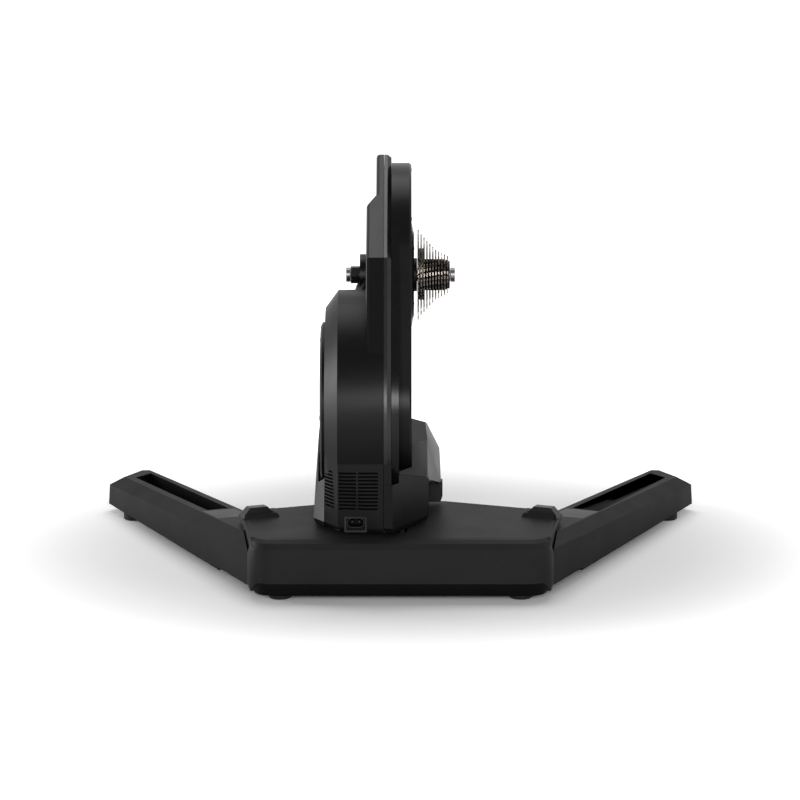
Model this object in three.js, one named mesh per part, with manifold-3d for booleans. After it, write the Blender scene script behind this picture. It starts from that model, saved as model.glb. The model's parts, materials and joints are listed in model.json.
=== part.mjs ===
// Direct drive bike trainer, in millimetres: +X is the drive side, +Y the way the bike faces, +Z up.
// The origin is on the floor, under the middle of the trainer.
import * as THREE from 'three';
import { mergeVertices } from 'three/addons/utils/BufferGeometryUtils.js';
import { ConvexGeometry } from 'three/addons/geometries/ConvexGeometry.js';
import Module from 'manifold-3d';

const wasm = await Module();
wasm.setup();

// Driving dimensions, grouped by the piece that they belong to
const overall = { width: 813, length: 590 };
const fit = { gap: 0.3, running: 0.6, overrun: 3, weld: 0.0001, step: 0.05 };

const drum = {
  fromNear: 164, radius: 147.6, wall: 4, chamferInset: 22.6, openingInset: 37.6,
  coverInset: 41.6, coverEdge: 5, coverLip: 3.5, flange: 3.7, flangeDepth: 3.5,
};
// The hub's axis lies outside the drum's rim, up and forward of the drum's axis by an angle in degrees
const hub = {
  rimClearance: 35.73, rise: 56.57, axleRadius: 8.5, boreRadius: 6.2, capRadius: 9.5, capThickness: 5.7,
  bearingRadius: 14.5, endLength: 8.9, bossInset: 18,
};
// Stations across the body, from the left face of the drum to the collar behind the cassette
const at = {
  drumCover: -102.3, drumFace: -96, drumRim: -79.4, fin: -43.8, finStep: -31.5,
  seam: -21.2, rim: -16.8, cover: -11.5, coverBand: -2, coverFace: 14.1, disc: 17.6, collar: 21.6,
};

const base = {
  nearHalfWidth: 190, nearRadius: 30, farCornerX: 185.5, farCornerFromNear: 171, farRadius: 21,
  length: 247, farBreakX: 57, skirtZ: 23, shoulderZ: 67, topZ: 78, wall: 4, top: 5,
  shoulderDepth: 24, sideShoulder: 7, lipReach: 3.5, lipDrop: 7.2, lipRound: 2.2, lipTop: 1,
};
const pan = { bottomZ: 6.5, chamferZ: 11, chamferInset: 3, bottomInset: 5.5, inset: 0.8, floor: 4 };
const foot = { radius: 15, nearX: 152, fromNear: 25, farX: 118, farFromNear: 191, dome: 2 };

const leg = {
  pivotX: 194, pivotFromNear: 142, spread: 23, inner: 34, innerTip: 29.4, outer: 41, rootBack: 100,
  bottomZ: 10, rootBottomZ: 13, rootStep: 5, tipWallZ: 38, tipTopZ: 48, rootTopZ: 66.34, chamfer: 20,
  tipCut: 19.3, slotInner: 21, slotOuter: 9, slotRoot: 135.8, slotTipBack: 30, slotOuterBack: 40.1,
  coverLength: 60, coverDepth: 3, coverMargin: 6, rib: 5, tongueZ: 28, swing: 23, wallGap: 0.8,
  footFromTip: 66, footOffset: 11, footRadius: 15, tipLean: 4.5, headroom: 3.2,
};
const pin = { radius: 9, bore: 5.5, topZ: 72.7, seatZ: 45, footZ: 13, lobeZ: 27.4 };
const button = {
  length: 40, topLength: 27, width: 16, height: 13, depth: 9, tuck: 1, stemRadius: 4.5, stemZ: 58,
  shiftX: 9, shiftY: 6, travel: 4, slotMargin: 1.2, edge: 3, springRadius: 3.5, padHeight: 5, padMargin: 3,
  padFoot: 9,
};

const track = { gauge: 84, centreX: -28, width: 14, height: 10, flange: 2, fromNear: 41, length: 192 };
const wheel = { radius: 13, width: 10, axleRadius: 4, axleEnd: 1, fromNear: 80, base: 111 };
const stop = { length: 8, height: 12, width: 12 };
const carriage = {
  z: 83, thickness: 5.3, travel: 15, bracketWidth: 18, bracketThickness: 6, bracketShift: 12,
  bracketDrop: 8, margin: 5,
};

// The skirt's plan, at its bottom edge: places in front of the drum's rearmost point, and ahead of its axis
const skirt = {
  bottomZ: 82, lipZ: 89, lip: 3, leftX: -111, leftIn: 73.6, leftRearX: -79, leftRearIn: 16.6,
  seamIn: 9.6, panelX: -10, panelIn: 6.6, rightRearX: 36, rightRearIn: 87.1, rightX: 55, rightAhead: 55,
  frontAhead: 71, wall: 3,
};
const wing = { topZ: 190, topX: -105, topBack: 9, rootX: -97, rootIn: 47.6, lean: 20, innerX: -60 };
const pod = {
  stepZ: 141, stepRearZ: 159, stepCornerZ: 138, stepSideZ: 109, stepInset: 2, rearTopZ: 188,
  sideTopZ: 151, sideTopX: 51, ridgeX: 32, ridgeBack: 4, ridgeZ: 199.5, ridgeInnerZ: 211, shoulderX: 34,
  shoulderAhead: 21, shoulderZ: 194, frontDrop: 26, bandZ: 159, notchZ: 145,
};
// Where the outlines leave the drum's rim, in degrees above the rearward direction
const rimAngle = { drumLower: -20, finRear: 33 };

// Heights above the hub's axis and places ahead of it
const fin = {
  rearLength: 140.2, apexAhead: 58, apexUp: 150.7, browAhead: 94, browUp: 131, frontAhead: 126,
  frontTopUp: 65, frontLowUp: -35, wall: 3.5, stepTopAhead: -25, stepLowAhead: -43, shelfUp: 77,
  stepFall: 16, shelfAhead: 36, shelfFrontUp: -45, shelfFrontAhead: 92, bossRadius: 27, gussetX: -73,
  gussetY: 30, gussetZ: 30, roll: 4,
};
const frame = {
  chamfer: 3.5, bossRadius: 30, bossEndX: -66, windows: 6, windowRadius: 17, windowPitch: 85,
  footHalf: 50, footHeight: 8, footX: -40, footLap: 22,
};
const beltCover = { hubRadius: 146, bandInset: 6.6, lowerInset: 37.6, wall: 3, edge: 2.6, hole: 60 };
const hubDisc = { radius: 69, faceRadius: 54, holeRadius: 22.5 };

const pulley = {
  radius: 112, rim: 7, width: 15, fromX: -7.4, web: 5, barrel: 21.75, windows: 5, windowRadius: 24,
  windowPitch: 66, boreStep: 3,
};
const belt = { thickness: 2.6, width: 12 };
const shaft = { radius: 10, fromX: -89, toX: 9, pulleyRadius: 15, bearingOuter: 19.7, bearingWidth: 12 };
const stator = { airGap: 6, ring: 26, fromX: -70, toX: -34, webInset: 8 };
const rotor = {
  rimClearance: 25.6, ring: 24, fromX: -78, toX: -30, web: 7, hubRadius: 22, hubLength: 7,
  deckClearance: 11.7,
};

const cassette = {
  teeth: [28, 25, 23, 21, 19, 17, 15, 14, 13, 12, 11], firstX: 23.1, pitch: 3.82, thickness: 1.7,
  chainPitch: 12.7, addendum: 2.1, dedendum: 3.1, bore: 17.2, clusterCount: 3, spiderRadius: 33,
  spiderArm: 9, spiderArms: 5, spacerRadius: 20.2,
};
const toothShares = { root: 0.2, flank: 0.12 };
const freehub = { radius: 16.9, fromX: 22.2, endMargin: 0.8, wall: 2.4 };
const lockring = { radius: 18.4, bore: 9.8, thickness: 1.9, thread: 6, shelf: 0.5 };
const nut = { radius: 12.2, flats: 6 };

const vent = {
  rows: 11, pitch: 4.6, height: 2.4, topZ: 159.7, leftX: -77.8, ribX: -55.9, rightX: -28.2, rib: 2.4,
  depth: 40, screenGap: 0.5, screen: 1.2, cornerShares: [0.14, 0.86],
};
const inlet = {
  x: -56.5, z: 95.2, width: 27, height: 19, depth: 20, cavityRadius: 5.6, cavityHalf: 4.7,
  cavityDepth: 15, cavityRise: 2, pinRadius: 1.2, pinHalf: 4.3, pinLength: 9, faceInset: 1.5,
};
const board = { thickness: 1.6, width: 90, height: 46, x: 30, cornerGap: 13.5, part: 9, foot: 8 };
// Parts on the board: start along it, length and height, as shares of the board
const boardPartShares = [[0.06, 0.22, 0.7], [0.42, 0.16, 0.45], [0.7, 0.2, 0.6]];

// Steps of the round forms, and parts of a turn in degrees
const steps = { large: 64, medium: 36, small: 20, tiny: 10, corner: 5 };
const turns = { quarter: 90, half: 180, full: 360 };

// Places that follow from the driving dimensions
const halfWidth = overall.width / 2;
const halfLength = overall.length / 2;
const nearY = -halfLength;
const radians = THREE.MathUtils.degToRad;
const topUnder = base.topZ - base.top;
const swingTopZ = leg.rootTopZ + leg.headroom;
const trackZ = base.skirtZ + fit.gap;
const baseY = { farCorner: nearY + base.farCornerFromNear, farEdge: nearY + base.length };
const pivotY = nearY + leg.pivotFromNear;
const trackY = { rear: nearY + track.fromNear, front: nearY + track.fromNear + track.length };
const axleYs = [nearY + wheel.fromNear, nearY + wheel.fromNear + wheel.base];
const rotorRadius = drum.radius - rotor.rimClearance;
const drumAxis = {
  y: nearY + drum.fromNear, z: carriage.z + carriage.thickness + rotor.deckClearance + rotorRadius,
};
const hubReach = drum.radius + hub.rimClearance;
const axle = {
  y: drumAxis.y + hubReach * Math.cos(radians(hub.rise)),
  z: drumAxis.z + hubReach * Math.sin(radians(hub.rise)),
};
const chamferRadius = drum.radius - drum.chamferInset;
const coverRadius = drum.radius - drum.coverInset;
const drumRearY = drumAxis.y - drum.radius;
const skirtY = {
  left: drumRearY + skirt.leftIn, leftRear: drumRearY + skirt.leftRearIn, seam: drumRearY + skirt.seamIn,
  panel: drumRearY + skirt.panelIn, rightRear: drumRearY + skirt.rightRearIn,
  right: drumAxis.y + skirt.rightAhead, front: drumAxis.y + skirt.frontAhead,
};
const freehubEnd = sprocketX(cassette.teeth.length - 1) + freehub.endMargin;
const hubHalf = freehubEnd + hub.endLength;
const bossX = hub.bossInset - hubHalf;
const wheelZ = trackZ + track.height + fit.gap + wheel.radius;

// Solids and outlines

/** Six times the volume of a closed triangle mesh, negative when its faces point inwards. */
function signedVolume(positions, indices) {
  const corner = [new THREE.Vector3(), new THREE.Vector3(), new THREE.Vector3()];
  let total = 0;
  for (let i = 0; i < indices.length; i += corner.length) {
    corner.forEach((point, k) => point.fromArray(positions, corner.length * indices[i + k]));
    total += corner[0].dot(corner[1].cross(corner[2]));
  }
  return total;
}

/** A closed geometry as a solid, whichever way its faces were wound. */
function solid(geometry) {
  const bare = geometry.clone();
  bare.deleteAttribute('normal');
  bare.deleteAttribute('uv');
  const merged = mergeVertices(bare, fit.weld);
  const vertProperties = Float32Array.from(merged.attributes.position.array);
  const triVerts = Uint32Array.from(merged.index.array);
  if (signedVolume(vertProperties, triVerts) < 0) triVerts.reverse();
  return new wasm.Manifold(new wasm.Mesh({ numProp: 3, vertProperties, triVerts }));
}

/** The convex solid of a list of [x, y, z] corners. */
function hull(corners) {
  return solid(new ConvexGeometry(corners.map((corner) => new THREE.Vector3(...corner))));
}

/** A box between two corners. */
function box(low, high) {
  const size = high.map((value, i) => value - low[i]);
  const geometry = new THREE.BoxGeometry(...size);
  geometry.translate(...low.map((value, i) => value + size[i] / 2));
  return solid(geometry);
}

/** Points on an arc, angles in degrees. */
function arc(centreU, centreV, radius, from, to, count) {
  const points = [];
  for (let i = 0; i <= count; i += 1) {
    const angle = radians(from + ((to - from) * i) / count);
    points.push([centreU + radius * Math.cos(angle), centreV + radius * Math.sin(angle)]);
  }
  return points;
}

/** A full circle of points, without the repeated end. */
function circle(centreU, centreV, radius, count) {
  return arc(centreU, centreV, radius, 0, turns.full, count).slice(0, count);
}

/** A convex slab across the body: a side view outline of [y, z] points between two stations. */
function slab(outline, fromX, toX) {
  return hull([fromX, toX].flatMap((x) => outline.map(([y, z]) => [x, y, z])));
}

/** A convex plate seen from above: a plan outline of [x, y] points between two heights. */
function plate(outline, fromZ, toZ) {
  return hull([fromZ, toZ].flatMap((z) => outline.map(([x, y]) => [x, y, z])));
}

/** An extruded side view outline, which may be hollow or notched. */
function extrudeX(outline, fromX, toX) {
  const shape = new THREE.Shape(outline.map(([y, z]) => new THREE.Vector2(y, z)));
  const geometry = new THREE.ExtrudeGeometry(shape, { depth: toX - fromX, bevelEnabled: false });
  const turn = new THREE.Matrix4().makeBasis(
    new THREE.Vector3(0, 1, 0), new THREE.Vector3(0, 0, 1), new THREE.Vector3(1, 0, 0),
  );
  geometry.applyMatrix4(turn).translate(fromX, 0, 0);
  return solid(geometry);
}

/** A closed [radius, x] profile turned about an axis along X at (y, z). */
function turned(profile, y, z, count) {
  const closed = [...profile, profile[0]].map(([r, x]) => new THREE.Vector2(r, x));
  const geometry = new THREE.LatheGeometry(closed, count);
  geometry.rotateZ(-Math.PI / 2).translate(0, y, z);
  return solid(geometry);
}

/** A plain ring or, with no bore, a disc along X. */
function ring(outer, inner, fromX, toX, y, z, count) {
  return turned([[inner, fromX], [outer, fromX], [outer, toX], [inner, toX]], y, z, count);
}

/** A cylinder along X. */
function rod(radius, fromX, toX, y, z, count) {
  return slab(circle(y, z, radius, count), fromX, toX);
}

/** A closed [radius, z] profile turned about an upright axis at (x, y). */
function upright(profile, x, y, count) {
  const closed = [...profile, profile[0]].map(([r, z]) => new THREE.Vector2(r, z));
  const geometry = new THREE.LatheGeometry(closed, count);
  geometry.rotateX(Math.PI / 2).translate(x, y, 0);
  return solid(geometry);
}

/** An upright cylinder. */
function post(radius, fromZ, toZ, x, y, count) {
  return plate(circle(x, y, radius, count), fromZ, toZ);
}

/** The solids of a list joined in one. */
function join(solids) {
  return solids.reduce((sum, next) => sum.add(next));
}

/** A solid less each solid of a list. */
function cut(body, tools) {
  return tools.reduce((left, tool) => left.subtract(tool), body);
}

/** Both sides of a mirrored pair: builder(side), with side -1 on the left and +1 on the right. */
function pair(builder) {
  return [-1, 1].map((side) => builder(side));
}

// Finishes
function finish(color, roughness, metalness) {
  return new THREE.MeshStandardMaterial({ color, roughness, metalness });
}
const finishes = {
  shell: finish('#1d1d1e', 0.5, 0),
  cast: finish('#222224', 0.48, 0.2),
  pan: finish('#121213', 0.7, 0),
  rubber: finish('#0e0e0f', 0.9, 0),
  steel: finish('#8d8a86', 0.35, 1),
  nickel: finish('#9b948c', 0.3, 1),
  alloy: finish('#6b6668', 0.4, 0.9),
  black: finish('#151516', 0.4, 0.3),
  iron: finish('#4a4a4c', 0.6, 0.8),
  copper: finish('#a5673f', 0.45, 0.9),
  board: finish('#1f4a34', 0.5, 0),
  screen: finish('#08080a', 0.8, 0),
};

const trainer = new THREE.Group();

/** Adds a solid to the trainer as one named mesh. */
function add(name, whole, material) {
  const { vertProperties, triVerts, numProp } = whole.getMesh();
  const positions = new Float32Array((vertProperties.length / numProp) * 3);
  for (let i = 0; i < positions.length; i += 1) {
    positions[i] = vertProperties[Math.floor(i / 3) * numProp + (i % 3)];
  }
  const geometry = new THREE.BufferGeometry();
  geometry.setAttribute('position', new THREE.BufferAttribute(positions, 3));
  geometry.setIndex(new THREE.BufferAttribute(Uint32Array.from(triVerts), 1));
  geometry.computeVertexNormals();
  const mesh = new THREE.Mesh(geometry, material);
  mesh.name = name;
  trainer.add(mesh);
}

// Base

/** The base's plan, drawn in by one amount at the sides and another at the near edge. */
function basePlan(inset, nearInset) {
  const radius = base.nearRadius - inset;
  const nearX = base.nearHalfWidth - base.nearRadius;
  const cornerY = nearY + nearInset + radius;
  const slope = leg.spread;
  const right = [
    ...arc(nearX, cornerY, radius, -turns.quarter, 0, steps.corner),
    ...arc(base.farCornerX, baseY.farCorner, base.farRadius - inset, 0, turns.quarter - slope, steps.corner),
    [base.farBreakX, baseY.farEdge - inset],
  ];
  return [...right, ...right.map(([x, y]) => [-x, y])];
}

// The rolled shoulder of the base: how far in and how far up each level lies
const shoulderShares = [[0, 0], [0.2, 0.62], [0.52, 0.92], [1, 1]];

/** The base's outer form, drawn in by a wall. */
function baseForm(wall, bottomZ) {
  const rise = base.topZ - base.shoulderZ;
  const corners = basePlan(wall, wall).map(([x, y]) => [x, y, bottomZ]);
  shoulderShares.forEach(([inShare, upShare]) => {
    const side = wall + base.sideShoulder * inShare;
    const near = wall + base.shoulderDepth * inShare;
    const z = base.shoulderZ + (rise - (wall > 0 ? base.top : 0)) * upShare;
    basePlan(side, near).forEach(([x, y]) => corners.push([x, y, z]));
  });
  return hull(corners);
}

/** The room that a leg's root needs to swing in, between two heights. */
function swingRoom(side, fromZ, toZ) {
  const innerX = leg.pivotX - leg.inner - fit.overrun;
  const rearY = pivotY - leg.inner - fit.overrun;
  const low = Math.min(side * innerX, side * halfWidth);
  const high = Math.max(side * innerX, side * halfWidth);
  return box([low, rearY, fromZ], [high, halfLength, toZ]);
}

/** The slot in the base's top that one carriage bracket runs in. */
function bracketSlot(x, y) {
  const half = carriage.bracketWidth / 2 + carriage.travel + fit.overrun;
  const across = carriage.bracketThickness / 2 + fit.overrun;
  return box([x - across, y - half, topUnder - fit.overrun], [x + across, y + half, base.topZ + fit.overrun]);
}

const bracketXs = [-1, 1].map((side) => track.centreX + side * (track.gauge / 2 - carriage.bracketShift));
const trackXs = [-1, 1].map((side) => track.centreX + (side * track.gauge) / 2);

/** The button's plan outline, grown by a margin, turned square to the leg. */
function buttonPlan(side, length, margin) {
  const along = [side * Math.cos(radians(leg.spread)), -Math.sin(radians(leg.spread))];
  const across = [-along[1], along[0]];
  const centre = [side * (leg.pivotX - button.shiftX), pivotY + button.shiftY];
  const halfLengthways = length / 2 + margin;
  const halfWide = button.width / 2 + margin;
  return [[-1, -1], [1, -1], [1, 1], [-1, 1]].map(([a, b]) => [
    centre[0] + a * halfLengthways * along[0] + b * halfWide * across[0],
    centre[1] + a * halfLengthways * along[1] + b * halfWide * across[1],
  ]);
}

/** The rolled lip that hangs over a leg's root, along one side of the base's top. */
function sideLip(side) {
  const levels = [
    [0, base.lipDrop], [base.lipReach, base.lipDrop - base.lipRound],
    [base.lipReach, base.lipRound + base.lipTop],
    [0, base.lipTop],
  ];
  const whole = hull(levels.flatMap(([reach, down]) => [
    ...basePlan(fit.gap, fit.gap),
    ...arc(base.farCornerX, baseY.farCorner, base.farRadius + reach, 0, turns.quarter - leg.spread,
      steps.corner).map(([x, y]) => [side * x, y]),
  ].map(([x, y]) => [x, y, base.topZ - down])));
  const innerX = base.farCornerX - base.farRadius;
  return whole.intersect(box(
    [Math.min(side * innerX, side * halfWidth), nearY + base.nearRadius, 0],
    [Math.max(side * innerX, side * halfWidth), baseY.farEdge, base.topZ],
  ));
}

function addBaseShell() {
  const cuts = [
    baseForm(base.wall, base.skirtZ - fit.overrun),
    ...pair((side) => swingRoom(side, base.skirtZ - fit.overrun, swingTopZ)),
    ...bracketXs.flatMap((x) => axleYs.map((y) => bracketSlot(x, y))),
    ...pair((side) => plate(buttonPlan(side, button.length, button.slotMargin),
      topUnder - button.tuck - button.travel - fit.overrun, base.topZ + button.height)),
    ...pair((side) => post(pin.radius + fit.running, base.skirtZ, pin.topZ + fit.running,
      side * leg.pivotX, pivotY, steps.small)),
  ];
  const padLevel = (side, margin, z) => buttonPlan(side, button.length, margin).map(([x, y]) => [x, y, z]);
  const pads = pair((side) => hull([
    ...padLevel(side, button.padFoot, base.topZ - button.padHeight),
    ...padLevel(side, button.padMargin, base.topZ + button.padHeight),
  ]).intersect(plate(basePlan(base.wall, base.wall), topUnder, base.topZ + button.height)));
  const lips = pair((side) => sideLip(side).subtract(baseForm(base.wall, base.skirtZ)));
  add('base_shell', cut(join([baseForm(0, base.skirtZ), ...pads, ...lips]), cuts), finishes.shell);
}

function addPan() {
  const level = (inset, z) => basePlan(inset, inset).map(([x, y]) => [x, y, z]);
  const outer = hull([
    ...level(pan.inset, base.skirtZ - fit.gap),
    ...level(pan.chamferInset, pan.chamferZ),
    ...level(pan.bottomInset, pan.bottomZ),
  ]);
  const trayInset = pan.bottomInset + pan.floor;
  const tray = plate(basePlan(trayInset, trayInset), pan.bottomZ + pan.floor, base.skirtZ);
  const beds = trackXs.map((x) => box(
    [x - track.width, trackY.rear, pan.bottomZ + pan.floor / 2],
    [x + track.width, trackY.front, base.skirtZ],
  ));
  const rooms = pair((side) => swingRoom(side, 0, base.skirtZ + fit.overrun));
  const lobes = pair((side) => {
    const disc = circle(side * leg.pivotX, pivotY, leg.inner - fit.overrun, steps.medium);
    const neckX = side * (leg.pivotX - leg.inner - fit.overrun - pan.floor);
    const neck = [-1, 1].map((end) => [neckX, pivotY - pin.radius + end * pin.radius]);
    const lobe = plate([...disc, ...neck], leg.rootBottomZ, pin.lobeZ);
    const rootX = neckX - side * pin.radius;
    const root = box(
      [Math.min(rootX, neckX + side * fit.overrun), neck[0][1], pan.bottomZ + pan.floor / 2],
      [Math.max(rootX, neckX + side * fit.overrun), neck[1][1], pin.lobeZ],
    );
    return lobe.add(root);
  });
  const holes = pair((side) => post(pin.radius + fit.gap, 0, base.topZ, side * leg.pivotX, pivotY,
    steps.small));
  add('base_pan', cut(join([cut(outer, [tray, ...rooms]), ...beds, ...lobes]), holes), finishes.pan);
}

function addBaseFeet() {
  const places = { near: [foot.nearX, nearY + foot.fromNear], far: [foot.farX, nearY + foot.farFromNear] };
  Object.entries(places).forEach(([row, [x, y]]) => pair((side) => add(
    `base_foot_${row}_${side < 0 ? 'left' : 'right'}`,
    upright([
      [0, 0], [foot.radius - foot.dome, 0], [foot.radius, foot.dome], [foot.radius, pan.bottomZ - fit.gap],
      [0, pan.bottomZ - fit.gap],
    ], side * x, y, steps.small),
    finishes.rubber,
  )));
}

function addTracks() {
  ['left', 'right'].forEach((name, i) => {
    const x = trackXs[i];
    const half = track.width / 2;
    const bed = box([x - half, trackY.rear, trackZ], [x + half, trackY.front, trackZ + track.height]);
    const flange = box([x - half - track.flange, trackY.rear, trackZ],
      [x + half + track.flange, trackY.front, trackZ + track.flange]);
    add(`track_${name}`, bed.add(flange), finishes.steel);
  });
  const low = trackZ + track.height + fit.gap;
  const stops = { rear: trackY.rear, front: trackY.front - stop.length };
  Object.entries(stops).forEach(([name, y]) => add(`track_stop_${name}`, box(
    [trackXs[0] - stop.width / 2, y, low], [trackXs[1] + stop.width / 2, y + stop.length, low + stop.height],
  ), finishes.rubber));
}

// Legs, built in a frame with the pivot at its origin, s along the leg and n towards its outer side

/** A point of a leg's own frame in the trainer's plan. */
function legPoint(side, s, n) {
  const sine = Math.sin(radians(leg.spread));
  const cosine = Math.cos(radians(leg.spread));
  return [side * (leg.pivotX + s * sine + n * cosine), pivotY + s * cosine - n * sine];
}

const legTip = {
  outer: (halfWidth - leg.pivotX - leg.outer * Math.cos(radians(leg.spread))) / Math.sin(radians(leg.spread)),
  far: (n) => (halfLength - pivotY + n * Math.sin(radians(leg.spread))) / Math.cos(radians(leg.spread)),
};

/** Where the slanted end of a leg lies along it, at n across it. */
function legEnd(n) {
  const corner = legTip.far(-leg.tipCut);
  return corner + ((n + leg.tipCut) / (leg.outer + leg.tipCut)) * (legTip.outer - corner);
}

/** The height of the leg's top above a point s along it. */
function legTopZ(s) {
  return leg.rootTopZ + (s / legTip.outer) * (leg.tipTopZ - leg.rootTopZ);
}

/** The whole beam of a leg, run back past its root. */
function legBeam(side) {
  const drop = leg.tipTopZ - leg.tipWallZ;
  const back = -leg.rootBack;
  const tips = [
    [legTip.outer, leg.outer], [legTip.far(-leg.tipCut), -leg.tipCut],
    [legTip.far(-leg.innerTip), -leg.innerTip],
  ];
  const plan = [[back, leg.outer], ...tips, [back, -leg.inner]];
  const low = plan.map(([s, n]) => [...legPoint(side, s, n), leg.bottomZ]);
  const wall = [
    [back, leg.outer], [legTip.outer - leg.tipLean, leg.outer],
    [legTip.far(-leg.tipCut) - leg.tipLean, -leg.tipCut + leg.chamfer / 4],
  ].map(([s, n]) => [...legPoint(side, s, n), legTopZ(s) - drop]);
  const top = [
    [back, leg.outer - leg.chamfer], [legTip.outer - leg.chamfer / 2, leg.outer - leg.chamfer],
    [legTip.far(-leg.tipCut), -leg.tipCut], [legTip.far(-leg.innerTip), -leg.innerTip], [back, -leg.inner],
  ].map(([s, n]) => [...legPoint(side, s, n), legTopZ(s)]);
  return hull([...low, ...wall, ...top]);
}

/** A prism of a leg, from a list of [s, n] corners. */
function legPrism(side, corners, fromZ, toZ) {
  return plate(corners.map(([s, n]) => legPoint(side, s, n)), fromZ, toZ);
}

function slotCorners() {
  return [
    [leg.slotRoot, -leg.slotInner], [legTip.far(-leg.slotInner) - leg.slotTipBack, -leg.slotInner],
    [legEnd(leg.slotOuter) - leg.slotOuterBack, leg.slotOuter], [leg.slotRoot, leg.slotOuter],
  ];
}

/** The panel let into the top of a leg between its slot and its root, grown by a margin. */
function legPanel(side, margin, fromDepth, toDepth) {
  const toS = slotCorners()[0][0] - leg.rib + margin;
  const fromS = toS - leg.coverLength - 2 * margin;
  const plan = [
    [fromS, -leg.inner + leg.coverMargin - margin], [toS, -leg.inner + leg.coverMargin - margin],
    [toS, leg.outer - leg.chamfer - leg.coverMargin / 2 + margin],
    [fromS, leg.outer - leg.chamfer - leg.coverMargin / 2 + margin],
  ];
  return hull([fromDepth, toDepth].flatMap((depth) => plan.map(
    ([s, n]) => [...legPoint(side, s, n), legTopZ(s) - depth],
  )));
}

function legFootPlace(side) {
  return legPoint(side, legTip.outer - leg.footFromTip, leg.footOffset + leg.footRadius);
}

function addLeg(side, name) {
  const beam = legBeam(side);
  const sideLine = [
    [base.nearHalfWidth + leg.wallGap, nearY + base.nearRadius],
    [base.farCornerX + base.farRadius + leg.wallGap, baseY.farCorner],
  ];
  const inside = plate([
    ...sideLine.map(([x, y]) => [side * x, y]), [0, baseY.farCorner], [0, nearY],
    [side * base.nearHalfWidth, nearY],
  ], 0, halfWidth).intersect(box(
    [-halfWidth, nearY - fit.overrun, 0], [halfWidth, legPoint(side, 0, -leg.inner)[1], halfWidth],
  ));
  const disc = post(leg.inner, 0, base.topZ, side * leg.pivotX, pivotY, steps.medium);
  const slotInnerS = slotCorners()[0][0];
  const channel = legPrism(side, [
    [slotInnerS, leg.slotOuter + leg.rib], [legTip.outer - leg.chamfer, leg.slotOuter + leg.rib],
    [legTip.outer - leg.chamfer, leg.outer - leg.rib], [slotInnerS, leg.outer - leg.rib],
  ], 0, leg.tipWallZ - leg.rib);
  const cuts = [
    legPrism(side, slotCorners(), 0, halfWidth),
    legPrism(side, [
      [-leg.rootBack - fit.overrun, -leg.inner - fit.overrun], [leg.rootStep, -leg.inner - fit.overrun],
      [leg.rootStep + fit.overrun, leg.outer + fit.overrun],
      [-leg.rootBack - fit.overrun, leg.outer + fit.overrun],
    ], 0, leg.rootBottomZ),
    post(leg.inner + fit.overrun / 2, 0, leg.tongueZ, side * leg.pivotX, pivotY, steps.medium),
    post(pin.radius + fit.gap, 0, halfWidth, side * leg.pivotX, pivotY, steps.small),
    channel,
    legPanel(side, fit.gap, -fit.overrun, leg.coverDepth + fit.gap),
  ];
  const root = join([beam.subtract(inside), beam.intersect(disc)]);
  add(`leg_${name}`, cut(root, cuts), finishes.cast);
  add(`leg_panel_${name}`, legPanel(side, 0, 0, leg.coverDepth), finishes.shell);
  const [footX, footY] = legFootPlace(side);
  add(`leg_foot_${name}`, upright([
    [0, 0], [leg.footRadius - foot.dome, 0], [leg.footRadius, foot.dome],
    [leg.footRadius, leg.bottomZ - fit.gap], [0, leg.bottomZ - fit.gap],
  ], footX, footY, steps.small), finishes.rubber);
}

function addPins() {
  pair((side) => add(`leg_pin_${side < 0 ? 'left' : 'right'}`, upright([
    [0, pin.footZ], [pin.radius, pin.footZ], [pin.radius, pin.topZ], [pin.bore, pin.topZ],
    [pin.bore, pin.seatZ], [0, pin.seatZ],
  ], side * leg.pivotX, pivotY, steps.small), finishes.steel));
}

function addButton(side, name) {
  const lowZ = topUnder - button.tuck;
  const topZ = base.topZ + button.height;
  const head = hull([
    ...buttonPlan(side, button.length, 0).map(([x, y]) => [x, y, lowZ]),
    ...buttonPlan(side, button.length, 0).map(([x, y]) => [x, y, topZ - button.depth]),
    ...buttonPlan(side, button.topLength, -button.edge / 2).map(([x, y]) => [x, y, topZ]),
  ]);
  const stem = post(button.stemRadius, button.stemZ, base.topZ, side * leg.pivotX, pivotY, steps.small);
  const pinRoom = post(pin.radius + fit.running, 0, pin.topZ + button.travel + fit.running,
    side * leg.pivotX, pivotY, steps.small);
  add(`release_button_${name}`, head.subtract(pinRoom).add(stem), finishes.black);
  add(`release_spring_${name}`, upright([
    [button.springRadius, pin.seatZ + fit.gap], [pin.bore - fit.gap, pin.seatZ + fit.gap],
    [pin.bore - fit.gap, button.stemZ - fit.gap], [button.springRadius, button.stemZ - fit.gap],
  ], side * leg.pivotX, pivotY, steps.tiny), finishes.steel);
}

// Body: outlines in side view, [y, z] points running anticlockwise

/** A convex outline drawn in by a distance. */
function drawnIn(outline, distance) {
  return outline.map(([u, v], i) => {
    const [u0, v0] = outline[(i + outline.length - 1) % outline.length];
    const [u1, v1] = outline[(i + 1) % outline.length];
    const before = new THREE.Vector2(v0 - v, u - u0).normalize();
    const after = new THREE.Vector2(v - v1, u1 - u).normalize();
    const share = distance / (1 + before.dot(after));
    return [u + share * (before.x + after.x), v + share * (before.y + after.y)];
  });
}

/** A point on the drum's rim, by its angle above the rearward direction. */
function drumPoint(elevation, radius = drum.radius) {
  const angle = radians(elevation);
  return [drumAxis.y - radius * Math.cos(angle), drumAxis.z + radius * Math.sin(angle)];
}

const finRear = drumPoint(rimAngle.finRear);
const finCorner = [
  finRear[0] + fin.rearLength * Math.sin(radians(rimAngle.finRear)),
  finRear[1] + fin.rearLength * Math.cos(radians(rimAngle.finRear)),
];
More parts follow.
